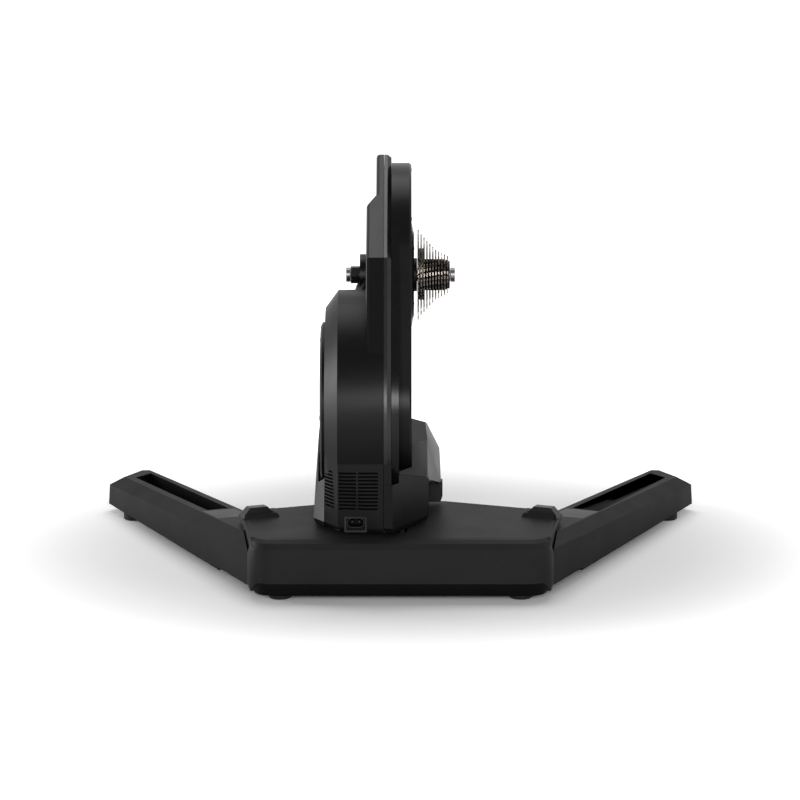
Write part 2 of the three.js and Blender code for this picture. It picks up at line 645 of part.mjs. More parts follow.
/** A place of the fin, ahead of the hub's axis and above it. */
const byHub = (ahead, up) => [axle.y + ahead, axle.z + up];
const finApex = byHub(fin.apexAhead, fin.apexUp);
const finFoot = byHub(fin.frontAhead, fin.frontLowUp);
const finBrow = [
  finFoot, byHub(fin.frontAhead, fin.frontTopUp), byHub(fin.browAhead, fin.browUp), finApex, finCorner,
];

/** The height of the fin's long top edge at a place along the trainer. */
function finTopZ(y) {
  const share = (y - finCorner[0]) / (finApex[0] - finCorner[0]);
  return finCorner[1] + share * (finApex[1] - finCorner[1]);
}

/** The angle at which a line from the fin's front foot touches the drum's rim. */
function frontTangent() {
  const reach = new THREE.Vector2(finFoot[0] - drumAxis.y, finFoot[1] - drumAxis.z);
  const turn = Math.atan2(reach.y, reach.x) - Math.acos(drum.radius / reach.length());
  return turns.full + THREE.MathUtils.radToDeg(turn);
}

const bodyOutline = [
  ...arc(drumAxis.y, drumAxis.z, drum.radius, turns.half - rimAngle.finRear, frontTangent(),
    steps.large / 2),
  ...finBrow,
];

/** The cover over the belt, in side view: round the hub, and a lower round about the drum's axis. */
function coverOutline(hubRadius, lowerRadius) {
  return [
    ...circle(axle.y, axle.z, hubRadius, steps.large),
    ...circle(drumAxis.y, drumAxis.z, lowerRadius, steps.large),
  ];
}

// Places on the skirt's rear, where the moulding leaves the drum
const rearTop = drumPoint(rimAngle.drumLower);
const frontTop = [2 * drumAxis.y - rearTop[0], rearTop[1]];
const faceTop = drumPoint(rimAngle.drumLower, chamferRadius);

/** The rear wall's place at a station and a height, between the skirt's lip and the drum. */
function rearWallY(x, z) {
  const { lerp, inverseLerp } = THREE.MathUtils;
  const lipY = lerp(skirtY.leftRear, skirtY.seam, inverseLerp(skirt.leftRearX, at.seam, x));
  return lerp(lipY, rearTop[0], inverseLerp(skirt.lipZ, rearTop[1], z));
}

/** The skirt's plan without the flare on its right, anticlockwise. */
const skirtPlan = [
  [skirt.leftX, skirtY.front], [skirt.leftX, skirtY.left], [skirt.leftRearX, skirtY.leftRear],
  [at.seam, skirtY.seam], [skirt.panelX, skirtY.panel], [skirt.rightRearX, skirtY.rightRear],
  [skirt.rightRearX, skirtY.front],
];

/** The moulding under the drum, shrunk by a wall, from a left to a right station. */
function underDrum(wall, leftX, rightX) {
  const share = (leftX - skirt.leftX) / (skirt.leftRearX - skirt.leftX);
  const leftRearY = skirtY.left + share * (skirtY.leftRear - skirtY.left);
  const plan = [
    [leftX + wall, skirtY.front - wall], [leftX + wall, leftRearY + wall],
    [skirt.leftRearX + wall / 2, skirtY.leftRear + wall], [rightX, skirtY.seam + wall],
    [rightX, skirtY.front - wall],
  ];
  const lip = wall > 0 ? 0 : skirt.lip;
  const centreY = (skirtY.front + skirtY.leftRear) / 2;
  const bottom = plan.map(([x, y]) => [x + (x < rightX ? lip : 0), y + Math.sign(centreY - y) * lip,
    skirt.bottomZ - wall]);
  const top = [skirt.leftRearX + wall / 2, rightX].flatMap((x) => [rearTop, frontTop].map(
    ([y, z]) => [x, y + Math.sign(centreY - y) * wall, z - 2 * wall],
  ));
  const face = [faceTop[0], 2 * drumAxis.y - faceTop[0]].map(
    (y) => [leftX + wall, y + Math.sign(centreY - y) * wall, faceTop[1] - 2 * wall],
  );
  return hull([...bottom, ...plan.map(([x, y]) => [x, y, skirt.lipZ]), ...top, ...face]);
}

/** The flared wing on the left of the skirt, shrunk by a wall. */
function wingForm(wall) {
  const lip = wall > 0 ? 0 : skirt.lip;
  const plan = (leftX, rootX, leftY, rootY, shrink) => [
    [leftX + wall + shrink, skirtY.front - wall - shrink], [leftX + wall + shrink, leftY + wall],
    [rootX + wall, rootY + wall + shrink], [wing.innerX, rootY + wall + shrink],
    [wing.innerX, skirtY.front - wall - shrink],
  ];
  const low = plan(skirt.leftX, wing.rootX, skirtY.left, drumRearY + wing.rootIn, lip);
  const mid = plan(skirt.leftX, wing.rootX, skirtY.left, drumRearY + wing.rootIn, 0);
  const topY = drumAxis.y - wing.topBack;
  const high = plan(wing.topX, wing.rootX, topY, topY - wing.lean, 0);
  return hull([
    ...low.map(([x, y]) => [x, y, skirt.bottomZ - wall]), ...mid.map(([x, y]) => [x, y, skirt.lipZ]),
    ...high.map(([x, y]) => [x, y, wing.topZ - wall]),
  ]);
}

/** The vent slots: two columns across the rear wall, and a short one round its left corner. */
function ventSlots() {
  const slots = [];
  const share = (at.drumFace - skirt.leftX) / (skirt.leftRearX - skirt.leftX);
  const corner = new THREE.Vector2(skirt.leftRearX, skirtY.leftRear);
  const along = new THREE.Vector2(at.drumFace, THREE.MathUtils.lerp(skirtY.left, skirtY.leftRear, share))
    .sub(corner);
  const across = new THREE.Vector2(-along.y, along.x).setLength(skirt.wall + fit.overrun);
  const ends = vent.cornerShares.map((end) => along.clone().multiplyScalar(end).add(corner));
  const cornerPlan = [
    ends[0].clone().add(across), ends[0].clone().sub(across), ends[1].clone().sub(across),
    ends[1].clone().add(across),
  ].map((point) => point.toArray());
  for (let row = 0; row < vent.rows; row += 1) {
    const z = vent.topZ - row * vent.pitch;
    const fromY = rearTop[0] - vent.depth / 2;
    const spans = [[vent.leftX, vent.ribX], [vent.ribX + vent.rib, vent.rightX]];
    spans.forEach(([fromX, toX]) => slots.push(
      box([fromX, fromY, z - vent.height / 2], [toX, fromY + vent.depth, z + vent.height / 2]),
    ));
    slots.push(plate(cornerPlan, z - vent.height / 2, z + vent.height / 2));
  }
  return slots;
}

function inletSpan(inset) {
  const y = rearWallY(inlet.x, inlet.z) + inlet.faceInset;
  const middleZ = inlet.z - inlet.cavityRise;
  return [
    [inlet.x - inlet.width / 2 + inset, y, middleZ - inlet.height / 2 + inset],
    [inlet.x + inlet.width / 2 - inset, y + inlet.depth, middleZ + inlet.height / 2 - inset],
  ];
}

function addLeftHousing() {
  const seamX = at.seam - fit.gap;
  const barrel = turned([
    [0, at.drumFace], [chamferRadius, at.drumFace], [drum.radius, at.drumRim], [drum.radius, seamX],
    [0, seamX],
  ], drumAxis.y, drumAxis.z, steps.large);
  const slope = drum.wall / 2;
  const hollow = turned([
    [0, at.drumCover - fit.overrun], [coverRadius + fit.gap, at.drumCover - fit.overrun],
    [coverRadius + fit.gap, at.drumFace], [drum.radius - drum.openingInset, at.drumFace],
    [drum.radius - drum.openingInset, at.drumFace + drum.wall],
    [chamferRadius - slope, at.drumFace + drum.wall],
    [drum.radius - drum.wall, at.drumRim + slope], [drum.radius - drum.wall, seamX + fit.overrun],
    [0, seamX + fit.overrun],
  ], drumAxis.y, drumAxis.z, steps.large);
  const [low, high] = inletSpan(-fit.gap);
  const inletHole = box([low[0], low[1] - vent.depth / 2, low[2]],
    [high[0], low[1] + vent.depth / 2, high[2]]);
  const below = box([-halfWidth, nearY, 0], [halfWidth, halfLength, skirt.bottomZ]);
  const outer = join([barrel, underDrum(0, at.drumFace, seamX), wingForm(0)]);
  const cuts = [
    hollow, underDrum(skirt.wall, at.drumFace, seamX + fit.overrun), wingForm(skirt.wall), inletHole, below,
    ...ventSlots(),
  ];
  add('housing_left', cut(outer, cuts), finishes.shell);
}

function addDrumCover() {
  const edge = drum.coverEdge;
  const inner = coverRadius - drum.coverLip;
  const flangeX = at.drumFace + fit.gap;
  const flange = coverRadius + drum.flange;
  add('drum_cover', turned([
    [0, at.drumCover], [coverRadius - edge, at.drumCover], [coverRadius, at.drumCover + edge / 2],
    [coverRadius, flangeX], [flange, flangeX], [flange, flangeX + drum.flangeDepth],
    [inner, flangeX + drum.flangeDepth], [inner, at.drumCover + drum.coverLip],
    [0, at.drumCover + drum.coverLip],
  ], drumAxis.y, drumAxis.z, steps.large), finishes.shell);
}

// The rolled left edge of the fin: how far in and how far along each level lies
const rollShares = [[1, 0], [0.3, 0.3], [0, 1]];

/** Corners of an outline in side view whose edge rolls over onto the face at a station. */
function rolledFace(outline, inset, faceX, roll) {
  return rollShares.flatMap(([inShare, alongShare]) => drawnIn(outline, inset + roll * inShare).map(
    ([y, z]) => [faceX + roll * alongShare, y, z],
  ));
}

/** The fin's left bulge below its step, shrunk by a wall and a little, so that no two faces coincide. */
function finShelf(wall) {
  const inset = wall + fit.step;
  const [lowY, topY] = [axle.y + fin.stepLowAhead, axle.y + fin.stepTopAhead];
  const face = [
    [drumAxis.y, drumAxis.z + drum.radius / 2], byHub(fin.shelfFrontAhead, fin.shelfFrontUp),
    byHub(fin.shelfAhead, fin.shelfUp), [lowY, finTopZ(lowY)], finCorner, finRear,
  ];
  const step = [
    [drumAxis.y, drumAxis.z + drum.radius / 2], [finFoot[0] - fin.wall, finFoot[1] + fin.wall],
    [finApex[0], finTopZ(topY) - fin.stepFall], [topY, finTopZ(topY)], finCorner, finRear,
  ];
  return hull([
    ...rolledFace(face, inset, at.fin + wall, wall > 0 ? 0 : fin.roll),
    ...drawnIn(step, inset).map(([y, z]) => [at.finStep + wall, y, z]),
    ...drawnIn(step, inset).map(([y, z]) => [at.seam - fit.gap + (wall > 0 ? fit.overrun : 0), y, z]),
  ]);
}

function addLeftFin() {
  const seamX = at.seam - fit.gap;
  const upper = [drumPoint(turns.quarter), ...finBrow, finRear];
  const outer = join([
    hull([...rolledFace(upper, 0, at.finStep, fin.roll), ...upper.map(([y, z]) => [seamX, y, z])]),
    finShelf(0),
    rod(fin.bossRadius, bossX, at.fin + fin.wall, axle.y, axle.z, steps.medium),
    hull([
      ...circle(axle.y, axle.z - fin.bossRadius / 2, fin.bossRadius / 2, steps.tiny).map(
        ([y, z]) => [bossX, y, z]),
      ...[-1, 1].flatMap((side) => [
        [at.fin, axle.y + side * fin.gussetY, axle.z],
        [at.fin, axle.y + side * fin.gussetY, axle.z - fin.gussetZ],
        [fin.gussetX, axle.y + side * fin.gussetY - fin.gussetY, axle.z - fin.gussetZ - fin.gussetY],
        [at.fin, axle.y + side * fin.gussetY - fin.gussetY, axle.z - fin.gussetZ - fin.gussetY],
      ]),
    ]),
  ]);
  const hollow = join([
    slab(drawnIn(upper, fin.wall), at.finStep + fin.wall, seamX + fit.overrun), finShelf(fin.wall),
  ]);
  const sleeve = rod(hub.bearingRadius, at.fin, seamX, axle.y, axle.z, steps.medium);
  const cuts = [
    rod(drum.radius + fit.gap, at.drumCover, 0, drumAxis.y, drumAxis.z, steps.large),
    rod(hub.axleRadius + fit.gap, at.drumCover, 0, axle.y, axle.z, steps.small),
    rod(nut.radius + fit.overrun, at.drumCover, bossX, axle.y, axle.z, steps.small),
  ];
  add('fin_left', cut(join([outer.subtract(hollow), sleeve]), cuts), finishes.shell);
}

function addFrame() {
  const plateZ = carriage.z + carriage.thickness + fit.gap;
  const whole = join([
    slab(bodyOutline, at.seam, at.rim),
    hull([
      ...bodyOutline.map(([y, z]) => [at.rim, y, z]),
      ...drawnIn(bodyOutline, frame.chamfer).map(([y, z]) => [at.cover - fit.gap, y, z]),
    ]),
    rod(frame.bossRadius, frame.bossEndX, at.seam + fit.overrun, drumAxis.y, drumAxis.z, steps.medium),
    box([frame.footX, drumAxis.y - frame.footHalf, plateZ],
      [at.cover - fit.gap, drumAxis.y + frame.footHalf, plateZ + frame.footHeight]),
    box([at.seam, drumAxis.y - frame.footHalf, plateZ],
      [at.cover - fit.gap, drumAxis.y + frame.footHalf, drumAxis.z - drum.radius + frame.footLap]),
  ]);
  const windows = [];
  for (let i = 0; i < frame.windows; i += 1) {
    const angle = (turns.full * (i + 1 / 2)) / frame.windows;
    const [y, z] = drumPoint(angle, frame.windowPitch);
    windows.push(rod(frame.windowRadius, at.seam - fit.overrun, at.cover, y, z, steps.small));
  }
  const cuts = [
    box([-halfWidth, nearY, 0], [halfWidth, halfLength, plateZ]),
    rod(shaft.bearingOuter + fit.gap, at.drumCover, 0, drumAxis.y, drumAxis.z, steps.medium),
    rod(hub.axleRadius + fit.gap, at.drumCover, 0, axle.y, axle.z, steps.small),
    ...windows,
  ];
  add('main_frame', cut(whole, cuts), finishes.cast);
}

/** The belt cover's form, drawn in by a wall; the far side is open when it is a hollow. */
function coverForm(wall, fromX, faceX) {
  const lowZ = carriage.z + carriage.thickness;
  const outer = beltCover.hubRadius - wall;
  const lower = drum.radius - beltCover.lowerInset - wall;
  const bandX = at.coverBand - (wall > 0 ? fit.gap : 0);
  const band = slab(coverOutline(outer, drum.radius - beltCover.bandInset - wall), fromX, bandX);
  const main = hull([
    ...coverOutline(outer, lower).flatMap(([y, z]) => [[fromX, y, z], [faceX - beltCover.edge, y, z]]),
    ...coverOutline(outer - beltCover.edge, lower - beltCover.edge).map(([y, z]) => [faceX, y, z]),
  ]);
  const keep = box([-halfWidth, nearY, lowZ + (wall > 0 ? beltCover.wall : fit.running)],
    [halfWidth, halfLength, 2 * halfLength]);
  return band.add(main).intersect(keep);
}

function addBeltCover() {
  const hole = rod(beltCover.hole, 0, at.disc, axle.y, axle.z, steps.medium);
  const hollow = coverForm(beltCover.wall, at.cover - fit.overrun, at.coverFace - beltCover.wall);
  add('belt_cover', cut(coverForm(0, at.cover, at.coverFace), [hollow, hole]), finishes.shell);
  add('hub_disc', turned([
    [hubDisc.holeRadius, at.coverFace + fit.gap], [hubDisc.radius, at.coverFace + fit.gap],
    [hubDisc.faceRadius, at.disc], [hubDisc.holeRadius, at.disc],
  ], axle.y, axle.z, steps.medium), finishes.shell);
}

/** The right lower housing's pod, shrunk by a wall. */
function podForm(wall) {
  const seamX = at.seam + fit.gap;
  const right = [[seamX, skirtY.seam], ...skirtPlan.slice(4), [seamX, skirtY.front]];
  const plan = drawnIn(right, wall);
  plan.filter(([x]) => x < at.cover).forEach((corner) => {
    corner[0] = seamX - (wall > 0 ? fit.overrun : 0);
  });
  const inset = pod.stepInset;
  const lip = wall > 0 ? 0 : skirt.lip;
  const middleY = (skirtY.front + skirtY.panel) / 2;
  const inwards = (y, distance) => y + Math.sign(middleY - y) * distance;
  const rising = (outline, tops) => hull([
    ...outline.map(([x, y]) => [x - (x > 0 ? lip : 0), inwards(y, lip), skirt.bottomZ - wall]),
    ...outline.flatMap(([x, y], i) => [[x, y, skirt.lipZ], [x, y, tops[i] - wall]]),
  ]);
  const lower = rising(plan, [pod.stepRearZ, pod.stepRearZ, pod.stepCornerZ, pod.stepCornerZ, pod.stepZ]);
  const flareX = [skirt.rightRearX - wall - fit.overrun, skirt.rightX - wall];
  const flareY = [skirtY.right + wall, skirtY.front - wall];
  const flare = rising(
    [[flareX[0], flareY[0]], [flareX[1], flareY[0]], [flareX[1], flareY[1]], [flareX[0], flareY[1]]],
    [pod.stepSideZ, pod.stepSideZ, pod.stepSideZ, pod.stepSideZ],
  );
  const step = (x, y) => [x - inset - wall, inwards(y, inset + wall)];
  const rearEdge = [[skirt.panelX, skirtY.panel + inset + wall], step(skirt.rightRearX, skirtY.rightRear)];
  const frontY = skirtY.front - wall - inset;
  const sideY = [skirtY.right + wall, frontY];
  const upper = hull([
    [...rearEdge[0], pod.stepRearZ - inset - wall], [...rearEdge[1], pod.stepCornerZ - inset - wall],
    ...sideY.map((y) => [skirt.rightX - inset - wall, y, pod.stepSideZ - inset - wall]),
    ...sideY.map((y) => [pod.sideTopX - wall, y, pod.sideTopZ - wall]),
    [skirt.panelX, frontY, pod.stepZ - inset - wall],
    ...rearEdge.map(([x, y]) => [x, y, pod.rearTopZ - wall]),
    [pod.ridgeX - wall, drumAxis.y - pod.ridgeBack, pod.ridgeZ - wall],
    [skirt.panelX, drumAxis.y - pod.ridgeBack, pod.ridgeInnerZ - wall],
    [pod.shoulderX - wall, drumAxis.y + pod.shoulderAhead, pod.shoulderZ - wall],
    ...[pod.shoulderX - wall, skirt.panelX].map(
      (x) => [x, skirtY.front - pod.frontDrop, pod.shoulderZ - pod.frontDrop - wall]),
  ]);
  const above = (toX, z) => box([-halfWidth, nearY - drum.radius, z - wall],
    [toX + wall, halfLength, 2 * halfLength]);
  return join([lower, flare, upper]).subtract(above(at.coverBand, pod.notchZ)).subtract(
    above(at.coverFace + fit.gap, pod.bandZ),
  );
}

function addRightHousing() {
  const seamX = at.seam + fit.gap;
  const clear = fit.running;
  const rear = hull([
    ...[seamX, at.cover].flatMap((x) => [
      [x, skirtY.seam, skirt.lipZ], [x, skirtY.seam + skirt.lip, skirt.bottomZ], [x, ...rearTop],
      [x, drumAxis.y, rearTop[1]], [x, drumAxis.y, skirt.bottomZ],
    ]),
  ]);
  const rearHollow = hull([
    ...[seamX - fit.overrun, at.cover + fit.overrun].flatMap((x) => [
      [x, skirtY.seam + skirt.wall, skirt.bottomZ - fit.overrun],
      [x, rearTop[0] + skirt.wall, rearTop[1] - 2 * skirt.wall],
      [x, drumAxis.y + fit.overrun, rearTop[1] + fit.overrun],
      [x, drumAxis.y + fit.overrun, skirt.bottomZ - fit.overrun],
    ]),
  ]);
  const room = (inset) => coverOutline(beltCover.hubRadius + clear, drum.radius - inset + clear);
  const belt = slab(room(beltCover.lowerInset), at.coverBand, at.coverFace + fit.gap);
  const band = slab(room(beltCover.bandInset), at.cover - fit.running, at.coverBand + clear);
  const cuts = [
    podForm(skirt.wall), rearHollow, belt, band,
    slab(drawnIn(bodyOutline, -fit.gap), seamX - fit.overrun, at.cover),
    box([-halfWidth, nearY, 0], [halfWidth, halfLength, skirt.bottomZ]),
  ];
  add('housing_right', cut(join([podForm(0), rear]), cuts), finishes.shell);
}

// Carriage, wheels and inlet

function addCarriage() {
  const top = carriage.z + carriage.thickness;
  const deck = plate(drawnIn(skirtPlan, carriage.margin), carriage.z, top);
  const brackets = bracketXs.flatMap((x) => axleYs.map((y) => box(
    [x - carriage.bracketThickness / 2, y - carriage.bracketWidth / 2, wheelZ - carriage.bracketDrop],
    [x + carriage.bracketThickness / 2, y + carriage.bracketWidth / 2, carriage.z + fit.overrun],
  )));
  const reach = bracketXs[1] + carriage.bracketThickness;
  const bores = axleYs.map((y) => rod(wheel.axleRadius + fit.gap, bracketXs[0] - carriage.bracketThickness,
    reach, y, wheelZ, steps.small));
  const cuts = [...bores, box(...inletSpan(-fit.gap))];
  add('carriage_plate', cut(join([deck, ...brackets]), cuts), finishes.steel);
  ['rear', 'front'].forEach((name, i) => {
    const end = wheel.width / 2 + wheel.axleEnd;
    const axle = rod(wheel.axleRadius, trackXs[0] - end, trackXs[1] + end, axleYs[i], wheelZ, steps.small);
    const wheels = trackXs.map((x) => rod(wheel.radius, x - wheel.width / 2, x + wheel.width / 2,
      axleYs[i], wheelZ, steps.small));
    add(`wheelset_${name}`, join([axle, ...wheels]), finishes.steel);
  });
}

/** A prism along the trainer's length, from a list of [x, z] corners. */
function lengthwise(outline, fromY, toY) {
  return hull([fromY, toY].flatMap((y) => outline.map(([x, z]) => [x, y, z])));
}

function addInlet() {
  const [low, high] = inletSpan(0);
  const lobes = [-1, 1].flatMap((side) => circle(inlet.x + side * inlet.cavityHalf, inlet.z,
    inlet.cavityRadius, steps.tiny));
  const cavity = lengthwise(lobes, low[1] - fit.overrun, low[1] + inlet.cavityDepth);
  const pinAt = (side, radius, fromY, toY) => lengthwise(
    circle(inlet.x + side * inlet.pinHalf, inlet.z, radius, steps.tiny), fromY, toY,
  );
  const holes = pair((side) => pinAt(side, inlet.pinRadius + fit.gap, low[1], high[1] + fit.overrun));
  add('inlet_socket', cut(box(low, high), [cavity, ...holes]), finishes.black);
  const tip = low[1] + inlet.cavityDepth - inlet.pinLength;
  const backY = high[1] + fit.gap;
  const pins = pair((side) => pinAt(side, inlet.pinRadius, tip, backY + fit.overrun / 2));
  const holder = box([inlet.x - inlet.pinHalf - inlet.pinRadius, backY, inlet.z - inlet.cavityRadius],
    [inlet.x + inlet.pinHalf + inlet.pinRadius, backY + fit.overrun, inlet.z + inlet.cavityRadius]);
  add('inlet_contacts', join([...pins, holder]), finishes.steel);
}

function addDustScreen() {
  const lowZ = vent.topZ - vent.rows * vent.pitch;
  const highZ = vent.topZ + vent.height / 2;
  const start = skirt.wall + fit.gap + vent.screenGap;
  const corners = [vent.leftX, vent.rightX + vent.screenGap].flatMap((x) => [lowZ, highZ].flatMap((z) => [
    [x, rearWallY(x, z) + start, z], [x, rearWallY(x, z) + start + vent.screen, z],
  ]));
  add('dust_screen', hull(corners), finishes.screen);
}

function addBoard() {
  const z = carriage.z + carriage.thickness + fit.gap;
  const fromY = skirtY.rightRear + board.cornerGap;
  const parts = boardPartShares.map(([alongShare, lengthShare, heightShare]) => {
    const y = fromY + alongShare * board.width;
    return box([board.x - board.part, y, z + board.part / 2],
      [board.x + board.thickness / 2, y + lengthShare * board.width, z + heightShare * board.height]);
  });
  add('control_board', join([
    box([board.x, fromY, z], [board.x + board.thickness, fromY + board.width, z + board.height]),
    box([board.x - board.foot, fromY, z], [board.x + board.thickness, fromY + board.width,
      z + board.thickness]),
    ...parts,
  ]), finishes.board);
}

// Motor brake

function addMotor() {
  const centre = [drumAxis.y, drumAxis.z];
  add('motor_shaft', join([
    rod(shaft.radius, shaft.fromX, shaft.toX, ...centre, steps.medium),
    rod(shaft.pulleyRadius, pulley.fromX, pulley.fromX + pulley.width, ...centre, steps.medium),
  ]), finishes.steel);
  const inner = shaft.radius + fit.gap;
  const bearings = { left: frame.bossEndX + fit.gap, right: at.cover - fit.gap - shaft.bearingWidth };
  Object.entries(bearings).forEach(([name, x]) => add(`motor_bearing_${name}`, ring(
    shaft.bearingOuter, inner, x, x + shaft.bearingWidth, ...centre, steps.medium,
  ), finishes.steel));
  const webFrom = stator.fromX + stator.webInset;
  const webTo = stator.toX - stator.webInset;
  const neck = frame.bossRadius + fit.gap;
  const outer = rotorRadius - rotor.ring - stator.airGap;
  const web = outer - stator.ring;
  add('stator', turned([
    [neck, webFrom], [web, webFrom], [web, stator.fromX], [outer, stator.fromX],
    [outer, stator.toX], [web, stator.toX], [web, webTo], [neck, webTo],
  ], ...centre, steps.medium), finishes.copper);
  const backX = rotor.fromX - rotor.web;
  add('rotor', turned([
    [inner, backX], [rotorRadius, backX], [rotorRadius, rotor.toX], [rotorRadius - rotor.ring, rotor.toX],
    [rotorRadius - rotor.ring, rotor.fromX], [rotor.hubRadius, rotor.fromX],
    [rotor.hubRadius, rotor.fromX + rotor.hubLength], [inner, rotor.fromX + rotor.hubLength],
  ], ...centre, steps.large), finishes.iron);
}

// Hub, belt and cassette

function addHub() {
  const centre = [axle.y, axle.z];
  const half = hubHalf;
  const axleHalf = half - hub.capThickness - fit.gap;
  const bearingBore = hub.axleRadius + fit.gap;
  const tube = (radius, fromX, toX) => ring(radius, hub.boreRadius, fromX, toX, ...centre, steps.small);
  add('hub_axle', tube(hub.axleRadius, -axleHalf, axleHalf), finishes.steel);
  add('end_cap_left', tube(hub.capRadius, -half, -half + hub.capThickness), finishes.alloy);
  add('end_cap_right', tube(hub.capRadius, half - hub.capThickness, half), finishes.alloy);
  const nutBody = slab(circle(axle.y, axle.z, nut.radius, nut.flats), -axleHalf, bossX - fit.gap);
  const bore = rod(bearingBore, -half, 0, ...centre, steps.small);
  add('axle_nut', nutBody.subtract(bore), finishes.black);

  const outer = hub.bearingRadius;
  add('pulley_bearing', ring(outer, bearingBore, pulley.fromX + pulley.boreStep, at.collar - pulley.boreStep,
    ...centre, steps.small), finishes.steel);
  const toX = pulley.fromX + pulley.width;
  const middle = pulley.fromX + pulley.width / 2;
  const pulleyBody = join([
    ring(pulley.radius, pulley.radius - pulley.rim, pulley.fromX, toX, ...centre, steps.large),
    ring(pulley.radius - pulley.rim / 2, outer + fit.gap, middle - pulley.web / 2,
      middle + pulley.web / 2, ...centre, steps.medium),
    ring(pulley.barrel, outer + fit.gap, pulley.fromX, at.collar, ...centre, steps.medium),
  ]);
  const windows = [];
  for (let i = 0; i < pulley.windows; i += 1) {
    const angle = (2 * Math.PI * i) / pulley.windows;
    windows.push(rod(pulley.windowRadius, pulley.fromX, toX, axle.y + pulley.windowPitch * Math.cos(angle),
      axle.z + pulley.windowPitch * Math.sin(angle), steps.small));
  }
  add('big_pulley', cut(pulleyBody, windows), finishes.alloy);

  const loop = (grow) => [
    ...circle(axle.y, axle.z, pulley.radius + grow, steps.large),
    ...circle(drumAxis.y, drumAxis.z, shaft.pulleyRadius + grow, steps.medium),
  ];
  const beltFrom = middle - belt.width / 2;
  const beltTo = middle + belt.width / 2;
  add('belt', slab(loop(fit.gap + belt.thickness), beltFrom, beltTo).subtract(
    slab(loop(fit.gap), beltFrom - fit.overrun, beltTo + fit.overrun),
  ), finishes.rubber);
}

function sprocketX(index) {
  return cassette.firstX + index * cassette.pitch;
}

/** The radius of a chain's pitch circle round a number of teeth. */
function pitchRadius(teeth) {
  return cassette.chainPitch / (2 * Math.sin(Math.PI / teeth));
}

/** A toothed disc: roots and tips round the pitch circle, with a round hole. */
function sprocket(teeth, holeRadius, x) {
  const root = pitchRadius(teeth) - cassette.dedendum;
  const tip = pitchRadius(teeth) + cassette.addendum;
  const outline = [];
  for (let tooth = 0; tooth < teeth; tooth += 1) {
    const turn = (share) => (turns.full * (tooth + share)) / teeth;
    [[-toothShares.root, root], [toothShares.root, root], [1 / 2 - toothShares.flank, tip],
      [1 / 2 + toothShares.flank, tip]].forEach(([share, radius]) => outline.push(
      arc(axle.y, axle.z, radius, turn(share), turn(share), 1)[0],
    ));
  }
  const half = cassette.thickness / 2;
  const hole = rod(holeRadius, x - half - fit.overrun, x + half + fit.overrun, axle.y, axle.z, steps.small);
  return extrudeX(outline, x - half, x + half).subtract(hole);
}

function addCassette() {
  const centre = [axle.y, axle.z];
  const half = cassette.thickness / 2;
  const lastOfCluster = sprocketX(cassette.clusterCount - 1) + half;
  const first = sprocketX(0) - half;
  const rings = cassette.teeth.slice(0, cassette.clusterCount).map(
    (teeth, i) => sprocket(teeth, cassette.spiderRadius, sprocketX(i)),
  );
  const arms = [];
  for (let i = 0; i < cassette.spiderArms; i += 1) {
    const arm = box([first, -cassette.spiderArm / 2, cassette.bore - fit.overrun / 2],
      [lastOfCluster, cassette.spiderArm / 2, cassette.spiderRadius + fit.overrun / 2]);
    arms.push(arm.rotate([(turns.full * i) / cassette.spiderArms, 0, 0]).translate([0, axle.y, axle.z]));
  }
  const core = rod(cassette.spacerRadius, first, lastOfCluster, ...centre, steps.small);
  const bore = rod(cassette.bore, first - fit.overrun, lastOfCluster + fit.overrun, ...centre, steps.small);
  add('sprocket_cluster', cut(join([...rings, ...arms, core]), [bore]), finishes.nickel);

  cassette.teeth.forEach((teeth, i) => {
    if (i < cassette.clusterCount) return;
    const x = sprocketX(i);
    const radius = Math.min(cassette.spacerRadius, pitchRadius(teeth) - cassette.dedendum - fit.gap);
    const fromX = x - cassette.pitch + half + fit.gap;
    const collar = ring(radius, cassette.bore, fromX, x, ...centre, steps.small);
    add(`sprocket_${teeth}`, sprocket(teeth, cassette.bore, x).add(collar), finishes.nickel);
  });

  const bearingBore = hub.axleRadius + fit.gap;
  const bearingOuter = freehub.radius - freehub.wall;
  const threadX = freehubEnd - lockring.thread;
  add('freehub_body', ring(freehub.radius, bearingOuter + fit.gap, freehub.fromX, freehubEnd, ...centre,
    steps.small), finishes.alloy);
  add('freehub_bearing', ring(bearingOuter, bearingBore, freehub.fromX + fit.running, threadX - fit.running,
    ...centre, steps.small), finishes.steel);
  const flangeX = freehubEnd + fit.gap;
  add('lockring', join([
    ring(lockring.radius, lockring.bore, flangeX, flangeX + lockring.thickness, ...centre, steps.small),
    ring(bearingOuter, lockring.bore, threadX, flangeX + lockring.shelf, ...centre, steps.small),
  ]), finishes.black);
}

addBaseShell();
addPan();
addBaseFeet();
addTracks();
addPins();
addLeg(-1, 'left');
addLeg(1, 'right');
addButton(-1, 'left');
addButton(1, 'right');
addLeftHousing();
addDrumCover();
addLeftFin();
addFrame();
addBeltCover();
addRightHousing();
addCarriage();
addInlet();
addDustScreen();
addBoard();
addMotor();
addHub();
addCassette();

export default trainer;
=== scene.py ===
"""Looks of the direct drive bike trainer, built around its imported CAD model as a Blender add-on."""

import json
import math

import bmesh
import bpy
from bpy.props import FloatProperty, FloatVectorProperty, IntProperty, PointerProperty
from mathutils import Matrix, Vector
from mathutils.bvhtree import BVHTree


